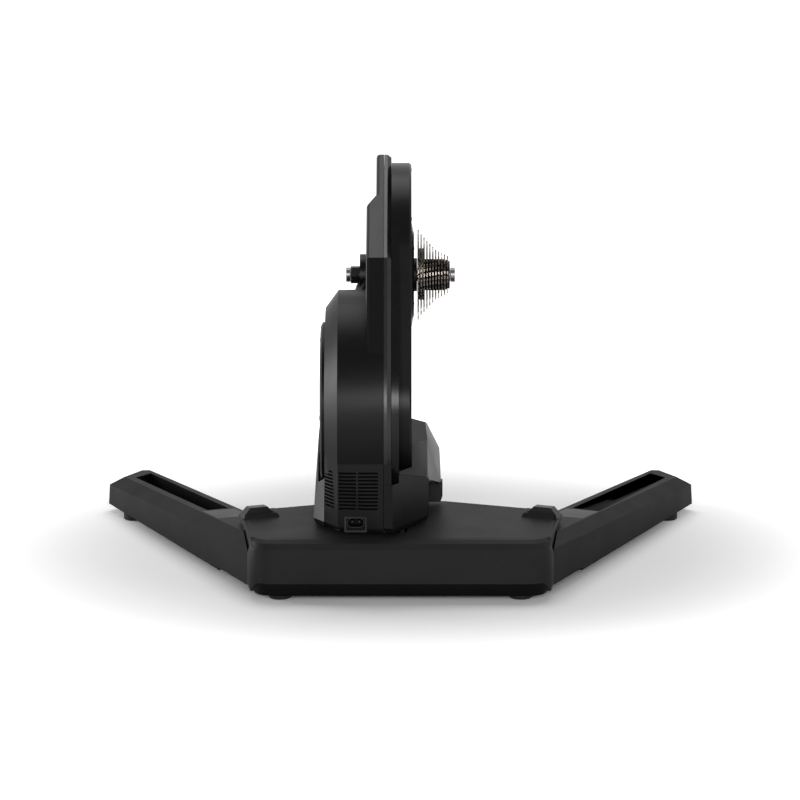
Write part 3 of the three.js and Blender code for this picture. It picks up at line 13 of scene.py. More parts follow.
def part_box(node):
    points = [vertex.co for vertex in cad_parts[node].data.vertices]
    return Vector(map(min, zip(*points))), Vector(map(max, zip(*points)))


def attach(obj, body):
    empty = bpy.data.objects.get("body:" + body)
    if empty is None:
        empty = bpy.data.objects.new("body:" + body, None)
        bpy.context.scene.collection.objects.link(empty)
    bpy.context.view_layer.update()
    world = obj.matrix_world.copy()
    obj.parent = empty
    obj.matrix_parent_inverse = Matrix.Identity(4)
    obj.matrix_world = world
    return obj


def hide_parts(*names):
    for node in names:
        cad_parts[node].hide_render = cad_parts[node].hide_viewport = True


bl_info = {
    "name": "Direct drive bike trainer",
    "version": (1, 0, 0),
    "blender": (4, 5, 0),
    "location": "3D View > Sidebar > Trainer",
    "description": "Builds the trainer's surfaces, fittings and studio around the packed model",
    "category": "Object",
}

MM = 0.001
# Size of the patches in which colour and roughness change, and the range that a noise mostly fills
PATCH = 60 * MM
NOISE_RANGE = (0.3, 0.7)
# How a grain is drawn out into lines: round the hub's axis, and along a winding's wires
TURNED = (6, 1, 1)
WOUND = (1, 5, 5)
# The turn, in degrees, under which only triangles of one and the same flat face are joined
WHOLE_FACES_ONLY = 0.01
# Screws of the belt cover, in degrees: round the hub, and the low one round the drum
COVER_SCREW_ANGLES = (-40, 20, 80, 140)
LOW_SCREW_ANGLE = 215
# A button head with its socket: radius as a share of the head's, height as a share of its rise
SCREW_PROFILE = ((0, -1), (1, -1), (1, 0.5), (0.8, 1), (0.45, 1), (0.4, 0.2), (0, 0.2))
# Lamps: name, setting of the power, width, height and place in metres, and the place that all point at
SOFTBOXES = (
    ("front_softbox", "front", 2.6, 1.2, (0, -5.6, 1.75)),
    ("left_softbox", "left", 1.2, 1.0, (-3.2, 0.9, 0.55)),
    ("right_softbox", "right", 1.2, 1.2, (2.6, -2.0, 0.9)),
    ("top_softbox", "top", 2.2, 1.6, (0, 0.9, 2.85)),
)
LIT_POINT = (0, -0.1, 0.22)
# Width of the camera's sensor in millimetres, and of the photograph in pixels
SENSOR = 36
FRAME_WIDTH = 800
# The studio's floor lies this far under the feet
FLOOR_GAP = 0.2 * MM

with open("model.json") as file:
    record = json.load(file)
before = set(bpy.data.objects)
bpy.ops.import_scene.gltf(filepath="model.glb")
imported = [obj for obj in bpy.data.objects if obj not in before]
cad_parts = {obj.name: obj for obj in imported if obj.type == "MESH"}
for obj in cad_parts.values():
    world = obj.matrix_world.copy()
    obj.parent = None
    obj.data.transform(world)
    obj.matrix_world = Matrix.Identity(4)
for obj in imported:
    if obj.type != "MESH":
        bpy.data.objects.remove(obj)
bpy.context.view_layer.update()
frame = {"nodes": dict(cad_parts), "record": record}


def linear(hex_colour):
    """An sRGB hex colour as linear red, green and blue."""
    channels = [int(hex_colour[i:i + 2], 16) / 255 for i in (1, 3, 5)]
    return [c / 12.92 if c <= 0.04045 else ((c + 0.055) / 1.055) ** 2.4 for c in channels]


def colour_property(name, description, hex_colour):
    return FloatVectorProperty(
        name=name, description=description, subtype="COLOR", size=3, min=0, max=1,
        default=linear(hex_colour),
    )


def length_property(name, description, millimetres, least=0):
    return FloatProperty(
        name=name, description=description, default=millimetres * MM, min=least * MM, subtype="DISTANCE",
        unit="LENGTH", precision=5,
    )


def angle_property(name, description, degrees):
    return FloatProperty(
        name=name, description=description, default=math.radians(degrees), subtype="ANGLE", unit="ROTATION",
    )


def level_property(name, description, value):
    return FloatProperty(name=name, description=description, default=value, min=0)


class TrainerColours(bpy.types.PropertyGroup):
    housing: colour_property("Housing", "Moulded ABS of the drum, skirt and fin", "#0a0a0b")
    base: colour_property("Base", "Coarser ABS of the base", "#212122")
    cover: colour_property("Belt cover", "Polished nylon of the belt cover", "#0e0e0f")
    casting: colour_property("Castings", "Powder coat of the legs", "#09090a")
    # The frame's rim colour is lighter as painted light: it stands in for the light that its facet catches
    rim_painted_light: colour_property("Frame", "Silver-grey powder coat of the frame's rim", "#262627")
    pan: colour_property("Pan", "Moulded polypropylene under the base", "#080809")
    button: colour_property("Buttons", "Release buttons and the inlet's frame", "#161617")
    rubber: colour_property("Rubber", "Feet, stops and belt", "#101010")
    nickel: colour_property("Sprockets", "Nickel plate of the sprockets", "#5f5953")
    steel: colour_property("Steel", "Ground steel of axle, shaft, pins and bearings", "#a5a29d")
    anodised: colour_property("Anodised alloy", "End caps and freehub", "#6d686b")
    oxide: colour_property("Black oxide", "Axle nut, lockring, screws, tracks and wheels", "#1d1c1c")
    iron: colour_property("Cast iron", "Flywheel ring of the motor", "#5a5855")
    copper: colour_property("Copper", "Windings of the stator", "#a8643a")
    # The foam colour is the dust screen's own, and is also used as painted shade: on the sheets behind the
    # seam and vents, and in the legs' slots
    foam_and_shade: colour_property("Foam", "Dust screen and seals", "#060606")
    laminate: colour_property("Laminate", "Circuit board", "#1d4c33")
    floor: colour_property("Floor", "Pale studio floor", "#f2f2f2")


class TrainerSizes(bpy.types.PropertyGroup):
    shell_edge: length_property("Shell edge", "Radius of the edges of the moulded shells", 0.6)
    small_edge: length_property("Small edge", "Radius of the edges of leg panels and inlet", 0.3)
    vented_edge: length_property("Vented edge", "Radius of the edges of the wall with the vents", 0.2)
    base_edge: length_property("Base edge", "Radius of the edges of the base", 1.4)
    cast_edge: length_property("Casting edge", "Radius of the edges of legs and frame", 1.1)
    metal_edge: length_property("Metal edge", "Chamfer of turned and ground steel", 0.35)
    nut_edge: length_property("Nut edge", "Chamfer of the axle nut", 0.7)
    sprocket_edge: length_property("Sprocket edge", "Chamfer of a sprocket's tooth", 0.22)
    chain_pitch: length_property("Chain pitch", "Distance between two teeth", 12.7)
    chain_root: length_property("Chain root", "Depth of the teeth under the pitch circle", 3.1)
    spacer: length_property("Spacer", "Radius of the spacers between the sprockets", 20.2)
    sleeve: length_property("Sleeve", "How far a spacer's sleeve stands off the sprocket's collar", 0.3)
    sprocket_thickness: length_property("Sprocket", "Thickness of a loose sprocket", 1.7)
    screw_rise: length_property("Screw rise", "Height of a screw's head", 0.5)
    screw_inset: length_property("Screw inset", "From the belt cover's edge to a screw", 9)
    lower_round: length_property("Lower round", "Radius of the belt cover's lower end", 110)
    disc_screw_circle: length_property("Disc screws", "Radius of the screws' circle on the hub disc", 38)
    drum_screw_share: level_property(
        "Drum screws", "Radius of their circle, as a share of half the belt cover's length", 0.48,
    )
    disc_screws: IntProperty(
        name="Disc screws", description="Number on the hub disc, and on the drum cover", default=5, min=0,
    )
    bezel: length_property("Inlet frame", "Width of the frame round the inlet", 1.6)
    bezel_rise: length_property("Inlet frame's rise", "How far the frame stands off the socket", 0.5)
    cavity_half: length_property("Cavity half", "From the inlet's middle to the centre of its round end", 4.7)
    cavity_radius: length_property("Cavity radius", "Radius of the round ends of the inlet's cavity", 5.6)
    slot_reach: length_property("Slot reach", "Faces this near to each other are a slot's inside", 400)
    band_edge: length_property(
        "Band edge", "Station across the body where the belt cover's outer band ends", -2, least=-100,
    )
    guard: length_property("Corner guard", "How far the guard stands off the base's near corner", 3.4)
    guard_turn: angle_property("Guard turn", "How far the guard reaches round the corner", 50)
    guard_taper: length_property("Guard's taper", "Height in which each end of the guard narrows", 10.2)
    corner_height: length_property("Corner height", "From the shell's lower edge to its rolled shoulder", 44)
    corner_x: length_property("Corner", "From the middle to the centre of a near corner", 160)
    corner_radius: length_property("Corner radius", "Radius of the base's near corners", 30)
    guard_sink: length_property("Guard's end", "How far the guard's end is let into the shell", 0.2)
    guard_run: length_property("Guard's run", "How far the guard runs on past the corner's side", 2.6)
    lip_roll: length_property("Lip's roll", "Radius of the lip's outer edge", 1.6)
    lip_depth: length_property("Lip's depth", "From the base's side to the inner edge of the lip's end", 8)
    lip_turn: angle_property("Lip turn", "How far the lip's end reaches round the corner", 60)
    shoulder_rise: length_property("Shoulder rise", "From the rolled shoulder up to the base's top", 11)
    # The seam and vent sheets are near-black painted shade for the dark gaps behind the seam and vents
    seam_sheet: length_property("Seal", "Half width of the foam behind a seam", 4)
    seam_sheet_depth: length_property("Seal depth", "How far the foam lies behind the rear wall", 8)
    vent_sheet_inset: length_property("Baffle inset", "From the corner's facet to the foam behind its vents", 6)
    vent_sheet_from: length_property("Baffle start", "Along the corner's facet", 6)
    vent_sheet_to: length_property("Baffle end", "Along the corner's facet", 38)
    vent_sheet_back: length_property("Baffle back", "From the corner's facet to the back of that foam", 7.8)
    facet_turn: angle_property("Facet turn", "How far the corner's facet turns from the rear wall", 60.7)
    facet_side: length_property("Facet's side", "From the dust screen's left end to the facet's start", 4 / 3)
    facet_rear: length_property("Facet's rear", "From the dust screen back to the facet's start", 4)
    screw_head: length_property("Screw head", "Radius of a cover screw", 2.9)
    grain: length_property("Moulded grain", "Distance between the pits of the moulded grain", 1.6)
    base_grain: length_property("Base grain", "Distance between the pits of the base's grain", 2.4)
    peel: length_property("Powder coat peel", "Width of the waves in the powder coat", 2.4)


class TrainerStage(bpy.types.PropertyGroup):
    lens: FloatProperty(name="Lens", description="Focal length on a 36 mm sensor", default=172.125, min=20)
    distance: length_property("Camera distance", "From camera to trainer, along the floor", 4971)
    height: length_property("Camera height", "Camera above the floor", 1142)
    pitch: angle_property("Pitch", "How far the camera looks down", 10.7)
    front: level_property("Front lamp", "Power of the lamp behind the camera", 205)
    left: level_property("Left lamp", "Power of the lamp on the left", 62)
    right: level_property("Right lamp", "Power of the lamp on the right", 14)
    top: level_property("Top lamp", "Power of the lamp above", 41)
    floor_radius: length_property("Floor radius", "Radius of the studio floor", 30000)
    pool_inner: length_property("Lit pool", "Radius in which the lamps alone light the floor", 320)
    pool_outer: length_property("Backdrop", "Radius from which the floor is the white backdrop", 860)
    floor_glow: level_property("Floor glow", "Backdrop's light on the floor near the trainer", 0.02)
    dim_rise: angle_property("Dim rise", "Elevation of the dim part of the studio, in front", 68)
    dim_inner: angle_property("Dim inner", "Half angle of the dimmest part", 30)
    dim_outer: angle_property("Dim outer", "Half angle at which the backdrop is white again", 52)
    dim_level: level_property("Dim level", "Light left in the dimmest part", 0.35)
    world_light: level_property("Backdrop light", "Light of the backdrop on matt surfaces", 0.2)


# Materials


def add_node(tree, kind, settings=None, **links):
    """Adds one node: settings by attribute, and inputs by name as a value or as another node's output."""
    new = tree.nodes.new(kind)
    for name, value in (settings or {}).items():
        setattr(new, name, value)
    for name, value in links.items():
        socket = new.inputs[int(name[1:])] if name[0] == "i" and name[1:].isdigit() else new.inputs[name]
        if isinstance(value, bpy.types.NodeSocket):
            tree.links.new(value, socket)
        else:
            socket.default_value = value
    return new


def start_material(name):
    material = bpy.data.materials.new(name)
    material.use_nodes = True
    material.node_tree.nodes.clear()
    return material, material.node_tree


def rgba(colour):
    return [*colour, 1.0]


def surface_material(name, colour, roughness, grain, depth, metallic=0.0, specular=0.5, spread=0.06,
                     variation=0.12, stretch=(1, 1, 1)):
    """A finish with its own grain.

    The size and the depth of the grain are in metres, and spread and variation say how far the roughness
    and the colour change over the surface. A stretch over 1 squeezes the grain into lines along that axis.
    """
    material, tree = start_material(name)
    place = add_node(tree, "ShaderNodeTexCoord").outputs["Object"]
    stretched = add_node(tree, "ShaderNodeMapping", Vector=place, Scale=stretch).outputs["Vector"]
    fine = add_node(tree, "ShaderNodeTexNoise", Vector=stretched, Scale=1 / grain, Detail=3.0, Roughness=0.6)
    broad = add_node(tree, "ShaderNodeTexNoise", Vector=place, Scale=1 / PATCH, Detail=4.0, Roughness=0.55)
    low, high = NOISE_RANGE
    shade = add_node(tree, "ShaderNodeMapRange", i0=broad.outputs["Fac"], i1=low, i2=high,
                     i3=1 - variation, i4=1 + variation)
    tone = add_node(tree, "ShaderNodeVectorMath", {"operation": "SCALE"}, i0=list(colour),
                    i3=shade.outputs["Result"])
    polish = add_node(tree, "ShaderNodeMapRange", i0=broad.outputs["Fac"], i1=low, i2=high,
                      i3=roughness - spread / 2, i4=roughness + spread / 2)
    bump = add_node(tree, "ShaderNodeBump", Height=fine.outputs["Fac"], Strength=1.0, Distance=depth)
    shader = add_node(tree, "ShaderNodeBsdfPrincipled", Roughness=polish.outputs["Result"], Metallic=metallic,
                      Normal=bump.outputs["Normal"])
    tree.links.new(tone.outputs["Vector"], shader.inputs["Base Color"])
    shader.inputs["Specular IOR Level"].default_value = specular
    output = add_node(tree, "ShaderNodeOutputMaterial")
    tree.links.new(shader.outputs["BSDF"], output.inputs["Surface"])
    return material


def make_materials(scene):
    """Every finish of the trainer, by a short name of its own."""
    colours, sizes = scene.trainer_colours, scene.trainer_sizes
    return {
        # Moulded ABS with a fine spark-eroded grain: satin, the highlights soft and broad
        "housing": surface_material(
            "moulded_abs", colours.housing, roughness=0.4, grain=sizes.grain, depth=0.03 * MM, specular=0.1,
        ),
        # The same ABS left glossier on the fin
        "fin": surface_material(
            "satin_abs", colours.housing, roughness=0.36, grain=sizes.grain, depth=0.02 * MM, specular=0.14,
        ),
        # ABS with a coarser grain on the base: duller at a low angle
        "base": surface_material(
            "grained_abs", colours.base, roughness=0.5, grain=sizes.base_grain, depth=0.04 * MM,
            specular=0.05,
        ),
        # Polished glass-filled nylon: black and smooth, with clearer reflections
        "cover": surface_material(
            "polished_nylon", colours.cover, roughness=0.32, grain=sizes.grain, depth=0.008 * MM,
            specular=0.09,
        ),
        # The cover's outer band, polished further: a narrow, strong highlight
        "band": surface_material(
            "high_gloss_nylon", colours.cover, roughness=0.24, grain=sizes.grain, depth=0.004 * MM,
            specular=0.16,
        ),
        # Powder-coated cast aluminium: low waves under a satin film
        "casting": surface_material(
            "powder_coated_aluminium", colours.casting, roughness=0.5, grain=sizes.peel, depth=0.03 * MM,
            specular=0.05,
        ),
        # The inside of a leg's slot: dull, and near-black as painted shade, since the lamps' light hardly
        # reaches in there
        "scale": surface_material(
            "casting_scale", colours.foam_and_shade, roughness=0.9, grain=sizes.peel, depth=0.06 * MM, specular=0.04,
        ),
        # The big pulley, anodised black: dark, with a fine turned sheen
        "dark_anodised": surface_material(
            "black_anodised_aluminium", colours.oxide, roughness=0.45, grain=0.8 * MM, depth=0.01 * MM,
            metallic=0.7, stretch=TURNED,
        ),
        # Powder coat with metal flake on the frame, whose rim shows beside the fin: its colour is lighter
        # than the housings as a painted highlight, for the light that the rim's facet catches, and its sheen
        # is tighter
        "rim_painted_light": surface_material(
            "metallic_powder_coat", colours.rim_painted_light, roughness=0.34, grain=sizes.peel, depth=0.02 * MM,
            metallic=0.35, specular=0.3,
        ),
        # Moulded polypropylene: dull, slightly waxy
        "pan": surface_material(
            "moulded_polypropylene", colours.pan, roughness=0.62, grain=sizes.grain, depth=0.03 * MM,
            specular=0.06,
        ),
        # Moulded nylon: semi-gloss, for what a hand or a plug touches
        "button": surface_material(
            "moulded_nylon", colours.button, roughness=0.36, grain=sizes.grain, depth=0.015 * MM,
            specular=0.2,
        ),
        # Open-cell foam of the dust screen, and the same near-black on the sheets behind the seam and vents
        # as painted shade: takes nearly all the light that comes through the vents
        "foam_and_shade": surface_material(
            "open_cell_foam", colours.foam_and_shade, roughness=0.95, grain=1.4 * MM, depth=0.3 * MM, specular=0.05,
        ),
        # Natural rubber with a dusty skin
        "rubber": surface_material(
            "moulded_rubber", colours.rubber, roughness=0.85, grain=sizes.grain, depth=0.05 * MM,
            specular=0.35,
        ),
        # Steel plate of the carriage, near-black as painted shade where it shows in the gap under the skirt,
        # a little glossy at the edges
        "plate_painted_shade": surface_material(
            "electrocoated_steel", colours.oxide, roughness=0.5, grain=1.2 * MM, depth=0.02 * MM,
            metallic=0.2, specular=0.2,
        ),
        # Nickel-plated steel, stamped: bright with a warm cast and fine tumbling marks
        "nickel": surface_material(
            "nickel_plated_steel", colours.nickel, roughness=0.34, grain=1.2 * MM, depth=0.02 * MM,
            metallic=1, spread=0.16, variation=0.2,
        ),
        # Ground steel with lines round its axis
        "steel": surface_material(
            "ground_steel", colours.steel, roughness=0.3, grain=0.9 * MM, depth=0.012 * MM, metallic=1,
            spread=0.1, stretch=TURNED,
        ),
        # Anodised aluminium, turned: even grey with a silky sheen
        "anodised": surface_material(
            "anodised_aluminium", colours.anodised, roughness=0.38, grain=0.8 * MM, depth=0.01 * MM,
            metallic=1, stretch=TURNED,
        ),
        # Black oxide on steel: dark, thinly oiled, worn lighter in patches
        "oxide": surface_material(
            "black_oxide_steel", colours.oxide, roughness=0.4, grain=1.0 * MM, depth=0.01 * MM, metallic=0.6,
            variation=0.3,
        ),
        # Cast iron, turned all over
        "iron": surface_material(
            "turned_cast_iron", colours.iron, roughness=0.5, grain=0.9 * MM, depth=0.03 * MM, metallic=1,
            variation=0.2, stretch=TURNED,
        ),
        # Enamelled copper wire, varnished
        "copper": surface_material(
            "enamelled_copper", colours.copper, roughness=0.35, grain=1.5 * MM, depth=0.2 * MM, metallic=0.8,
            stretch=WOUND,
        ),
        # Glass-fibre laminate under green solder resist
        "laminate": surface_material(
            "glass_fibre_laminate", colours.laminate, roughness=0.4, grain=1.0 * MM, depth=0.01 * MM,
        ),
    }


MATERIALS = {}


def finish_of(key):
    if not MATERIALS:
        MATERIALS.update(make_materials(bpy.context.scene))
    return MATERIALS[key]


# Studio tools


def seen_directly(tree):
    """1 for a ray from the camera, from a mirror or through glass, and 0 for the light on a matt surface."""
    path = add_node(tree, "ShaderNodeLightPath")
    mirrored = add_node(tree, "ShaderNodeMath", {"operation": "ADD"}, i0=path.outputs["Is Camera Ray"],
                        i1=path.outputs["Is Glossy Ray"])
    through = add_node(tree, "ShaderNodeMath", {"operation": "ADD", "use_clamp": True},
                       i0=mirrored.outputs["Value"], i1=path.outputs["Is Transmission Ray"])
    return through.outputs["Value"]


def aimed(name, data, place, target):
    """An object at a place that looks at a target."""
    thing = bpy.data.objects.new(name, data)
    thing.location = place
    thing.rotation_euler = (Vector(target) - Vector(place)).to_track_quat("-Z", "Y").to_euler()
    bpy.context.scene.collection.objects.link(thing)
    return thing


def softbox(name, power, width, height, place, target):
    data = bpy.data.lights.new(name, "AREA")
    data.shape = "RECTANGLE"
    data.size = width
    data.size_y = height
    data.energy = power
    return aimed(name, data, place, target)


# Mesh tools


def piece_from(name, mesh_data, body, material, node=None):
    """One named piece on a body, with its finish, that may stand for a CAD node."""
    piece = bpy.data.objects.new(name, mesh_data)
    bpy.context.scene.collection.objects.link(piece)
    mesh_data.materials.clear()
    mesh_data.materials.append(finish_of(material))
    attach(piece, body)
    if node:
        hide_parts(node)
    return piece


def soften(piece, edge, angle):
    """Rounds a piece's edges, with its flat faces kept flat."""
    bevel = piece.modifiers.new("edge_radius", "BEVEL")
    bevel.width = edge
    bevel.segments = 3
    bevel.limit_method = "ANGLE"
    bevel.angle_limit = math.radians(angle)
    bevel.miter_outer = "MITER_ARC"
    bevel.use_clamp_overlap = True
    bevel.harden_normals = True
    weighted = piece.modifiers.new("flat_faces", "WEIGHTED_NORMAL")
    weighted.keep_sharp = True
    weighted.weight = 60


def mesh_of(form, name):
    """A finished form as a named mesh."""
    data = bpy.data.meshes.new(name)
    form.to_mesh(data)
    form.free()
    return data


def smooth_by_angle(mesh_data, angle=20):
    """Smooth shading with hard edges where two faces meet at more than an angle."""
    form = bmesh.new()
    form.from_mesh(mesh_data)
    for face in form.faces:
        face.smooth = True
    for edge in form.edges:
        edge.smooth = len(edge.link_faces) == 2 and edge.calc_face_angle(0) < math.radians(angle)
    form.to_mesh(mesh_data)
    form.free()


def clean_copy(node, flatness):
    """A CAD node's mesh as a copy, with triangles that turn less than an angle joined to whole flat faces."""
    form = bmesh.new()
    form.from_mesh(frame["nodes"][node].data)
    bmesh.ops.remove_doubles(form, verts=form.verts, dist=0.01 * MM)
    bmesh.ops.dissolve_limit(form, angle_limit=math.radians(flatness), verts=form.verts, edges=form.edges)
    return mesh_of(form, node + "_skin")


def body_of(node):
    bodies = frame["record"]["behaviour"]["bodies"]
    return next(body for body, nodes in bodies.items() if node in nodes)


def dressed(node, material, edge, angle=20, flatness=0.8):
    """A CAD node's form with rounded edges and its real finish, in the node's place."""
    data = clean_copy(node, flatness)
    smooth_by_angle(data)
    piece = piece_from(node + "_skin", data, body_of(node), material, node)
    soften(piece, edge, angle)
    return piece


def refinished(node, material):
    """A CAD node that keeps its own mesh and takes its real finish."""
    data = frame["nodes"][node].data
    data.materials.clear()
    data.materials.append(finish_of(material))


def middle_of(node):
    """The middle of a CAD node in side view, as (y, z)."""
    low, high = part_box(node)
    return (low.y + high.y) / 2, (low.z + high.z) / 2


def turned_form(name, profile, centre, count):
    """A mesh turned about an axis along X: a closed profile of (radius, x) points."""
    form = bmesh.new()
    rings = []
    for step in range(count):
        angle = 2 * math.pi * step / count
        rings.append([
            form.verts.new((x, centre[0] + r * math.cos(angle), centre[1] + r * math.sin(angle)))
            for r, x in profile
        ])
    for step, ring in enumerate(rings):
        following = rings[(step + 1) % count]
        for k in range(len(profile)):
            after = (k + 1) % len(profile)
            form.faces.new((ring[k], ring[after], following[after], following[k]))
    bmesh.ops.remove_doubles(form, verts=form.verts, dist=0.001 * MM)
    bmesh.ops.recalc_face_normals(form, faces=form.faces)
    return mesh_of(form, name)


def corner_arc(sizes, side, radii, heights, turn, count=7):
    """Points round a near corner of the base, from its side to its front, between two radii and heights."""
    centre_x, centre_y = side * sizes.corner_x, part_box("base_shell")[0].y + sizes.corner_radius
    points = []
    for step in range(count + 1):
        share = step / count
        angle = turn * share
        radius = radii[0] + (radii[1] - radii[0]) * share
        points.append((
            centre_x + side * radius * math.cos(angle), centre_y - radius * math.sin(angle),
            heights[0] + (heights[1] - heights[0]) * share,
        ))
    return points


def rounded_outline(x, z, half_x, half_z, radius, count=6):
    """A rounded rectangle in rear view, as (x, z) points."""
    points = []
    for quarter in range(4):
        across = half_x - radius if quarter in (0, 3) else radius - half_x
        up = half_z - radius if quarter < 2 else radius - half_z
        for step in range(count + 1):
            angle = math.pi / 2 * (quarter + step / count)
            points.append((x + across + radius * math.cos(angle), z + up + radius * math.sin(angle)))
    return points


def ring_piece(name, outer, inner, from_y, to_y):
    """A moulded frame between two outlines in rear view, from one station along the trainer to another."""
    form = bmesh.new()
    near_outer, near_inner, far_outer, far_inner = (
        [form.verts.new((x, y, z)) for x, z in outline] for y in (from_y, to_y) for outline in (outer, inner)
    )
    for first, second in ((near_outer, near_inner), (near_inner, far_inner), (far_inner, far_outer),
                          (far_outer, near_outer)):
        for k in range(len(outer)):
            after = (k + 1) % len(outer)
            form.faces.new((first[k], first[after], second[after], second[k]))
    bmesh.ops.recalc_face_normals(form, faces=form.faces)
    data = mesh_of(form, name)
    smooth_by_angle(data, 30)
    return piece_from(name, data, "carriage", "button")


def hull_piece(name, points, body, material):
    """The smallest convex form round some points."""
    form = bmesh.new()
    corners = [form.verts.new(point) for point in points]
    bmesh.ops.convex_hull(form, input=corners)
    bmesh.ops.recalc_face_normals(form, faces=form.faces)
    return piece_from(name, mesh_of(form, name), body, material)


def box_piece(name, low, high, body, material):
    """A strip with square edges, between two corners."""
    form = bmesh.new()
    bmesh.ops.create_cube(form, size=1)
    low, high = Vector(low), Vector(high)
    place = Matrix.Translation((high + low) / 2) @ Matrix.Diagonal((*(high - low), 1))
    bmesh.ops.transform(form, verts=form.verts, matrix=place)
    return piece_from(name, mesh_of(form, name), body, material)


def loose_sprockets():
    return sorted(n for n in frame["nodes"] if n.startswith("sprocket_") and n != "sprocket_cluster")


# Pieces, an operator for each group of like ones


class TrainerOperator:
    bl_options = {"REGISTER", "UNDO"}


class TRAINER_OT_housings(TrainerOperator, bpy.types.Operator):
    """Skins of the moulded housings: drum and skirt, fin, covers and the base's top shell"""

    bl_idname = "trainer.housings"
    bl_label = "Housings"

    def execute(self, context):
        sizes = context.scene.trainer_sizes
        for node in ("housing_right", "drum_cover"):
            dressed(node, "housing", sizes.shell_edge)
        # The vents pierce this one's rear wall, so its faces are only joined where they are quite flat
        dressed("housing_left", "housing", sizes.vented_edge, flatness=WHOLE_FACES_ONLY)
        dressed("fin_left", "fin", sizes.shell_edge)
        dressed("base_shell", "base", sizes.base_edge)
        dressed("hub_disc", "cover", sizes.shell_edge)
        cover = dressed("belt_cover", "cover", sizes.shell_edge)
        cover.data.materials.append(finish_of("band"))
        for face in cover.data.polygons:
            if face.center.x < sizes.band_edge:
                face.material_index = 1
        return {"FINISHED"}


class TRAINER_OT_castings(TrainerOperator, bpy.types.Operator):
    """Skins of the cast frame and of the two cast legs"""

    bl_idname = "trainer.castings"
    bl_label = "Castings"

    def execute(self, context):
        sizes = context.scene.trainer_sizes
        # The frame's rim takes a lighter colour as a painted highlight
        dressed("main_frame", "rim_painted_light", sizes.shell_edge)
        for node in ("leg_left", "leg_right"):
            leg = dressed(node, "casting", sizes.cast_edge)
            # Faces inside the leg's slot take a second finish, near-black as painted shade
            leg.data.materials.append(finish_of("scale"))
            self.paint_slot_shade(leg.data, sizes.slot_reach)
        for node in ("leg_panel_left", "leg_panel_right"):
            dressed(node, "housing", sizes.small_edge)
        return {"FINISHED"}

    def paint_slot_shade(self, data, reach):
        """Gives the second finish, near-black painted shade, to the faces that look at another face of the
        same leg.
        """
        form = bmesh.new()
        form.from_mesh(data)
        tree = BVHTree.FromBMesh(form)
        for face in form.faces:
            start = face.calc_center_median() + face.normal * MM
            if tree.ray_cast(start, face.normal, reach)[0] is not None:
                face.material_index = 1
        form.to_mesh(data)
        form.free()


class TRAINER_OT_underside(TrainerOperator, bpy.types.Operator):
    """The pan, the rubber feet, and the tracks and stops inside the base"""

    bl_idname = "trainer.underside"
    bl_label = "Underside"

    def execute(self, context):
        sizes = context.scene.trainer_sizes
        dressed("base_pan", "pan", sizes.shell_edge)
        for node in [n for n in frame["nodes"] if "_foot_" in n]:
            dressed(node, "rubber", sizes.shell_edge, angle=25)
        for node in ("track_stop_rear", "track_stop_front"):
            dressed(node, "rubber", sizes.shell_edge)
        for node in ("track_left", "track_right", "wheelset_front", "wheelset_rear"):
            dressed(node, "oxide", sizes.metal_edge)
        # The carriage plate is painted near-black as the shade under the skirt
        dressed("carriage_plate", "plate_painted_shade", sizes.metal_edge)
        return {"FINISHED"}


class TRAINER_OT_releases(TrainerOperator, bpy.types.Operator):
    """The release buttons of the legs, their springs and the pivot pins"""

    bl_idname = "trainer.releases"
    bl_label = "Leg releases"

    def execute(self, context):
        sizes = context.scene.trainer_sizes
        for side in ("left", "right"):
            dressed("release_button_" + side, "button", sizes.shell_edge)
            dressed("leg_pin_" + side, "steel", sizes.metal_edge)
            refinished("release_spring_" + side, "steel")
        return {"FINISHED"}


class TRAINER_OT_inlet(TrainerOperator, bpy.types.Operator):
    """The mains inlet with its contacts, and the dust screen behind the vents"""

    bl_idname = "trainer.inlet"
    bl_label = "Inlet and dust screen"

    def execute(self, context):
        sizes = context.scene.trainer_sizes
        dressed("inlet_socket", "pan", sizes.small_edge, angle=40)
        self.add_bezel(sizes)
        refinished("inlet_contacts", "oxide")
        refinished("dust_screen", "foam_and_shade")
        return {"FINISHED"}

    def add_bezel(self, sizes):
        """A glossy frame round the inlet, and a raised rim round its cavity."""
        low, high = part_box("inlet_socket")
        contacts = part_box("inlet_contacts")
        face = low.y - sizes.bezel_rise
        middle_x, middle_z = (low.x + high.x) / 2, (low.z + high.z) / 2
        half_x, half_z = (high.x - low.x) / 2, (high.z - low.z) / 2
        outer, inner = (
            rounded_outline(middle_x, middle_z, half_x + grown, half_z + grown, sizes.bezel)
            for grown in (sizes.bezel / 2, -sizes.bezel)
        )
        ring_piece("inlet_frame", outer, inner, face - sizes.bezel_rise, low.y)
        middle_x, middle_z = (contacts[0].x + contacts[1].x) / 2, (contacts[0].z + contacts[1].z) / 2
        half, radius = sizes.cavity_half + sizes.cavity_radius, sizes.cavity_radius
        outer, inner = (
            rounded_outline(middle_x, middle_z, half + grown, radius + grown, radius + grown)
            for grown in (sizes.bezel / 2, 0)
        )
        ring_piece("inlet_rim", outer, inner, face, low.y + sizes.bezel_rise)


class TRAINER_OT_cassette(TrainerOperator, bpy.types.Operator):
    """The sprockets with their teeth, spider, spacers and lockring, and the freehub that carries them"""

    bl_idname = "trainer.cassette"
    bl_label = "Cassette"

    def execute(self, context):
        sizes = context.scene.trainer_sizes
        dressed("sprocket_cluster", "nickel", sizes.sprocket_edge)
        for node in loose_sprockets():
            dressed(node, "nickel", sizes.sprocket_edge)
        dressed("lockring", "oxide", sizes.metal_edge)
        dressed("freehub_body", "anodised", sizes.metal_edge)
        dressed("freehub_bearing", "steel", sizes.metal_edge)
        return {"FINISHED"}


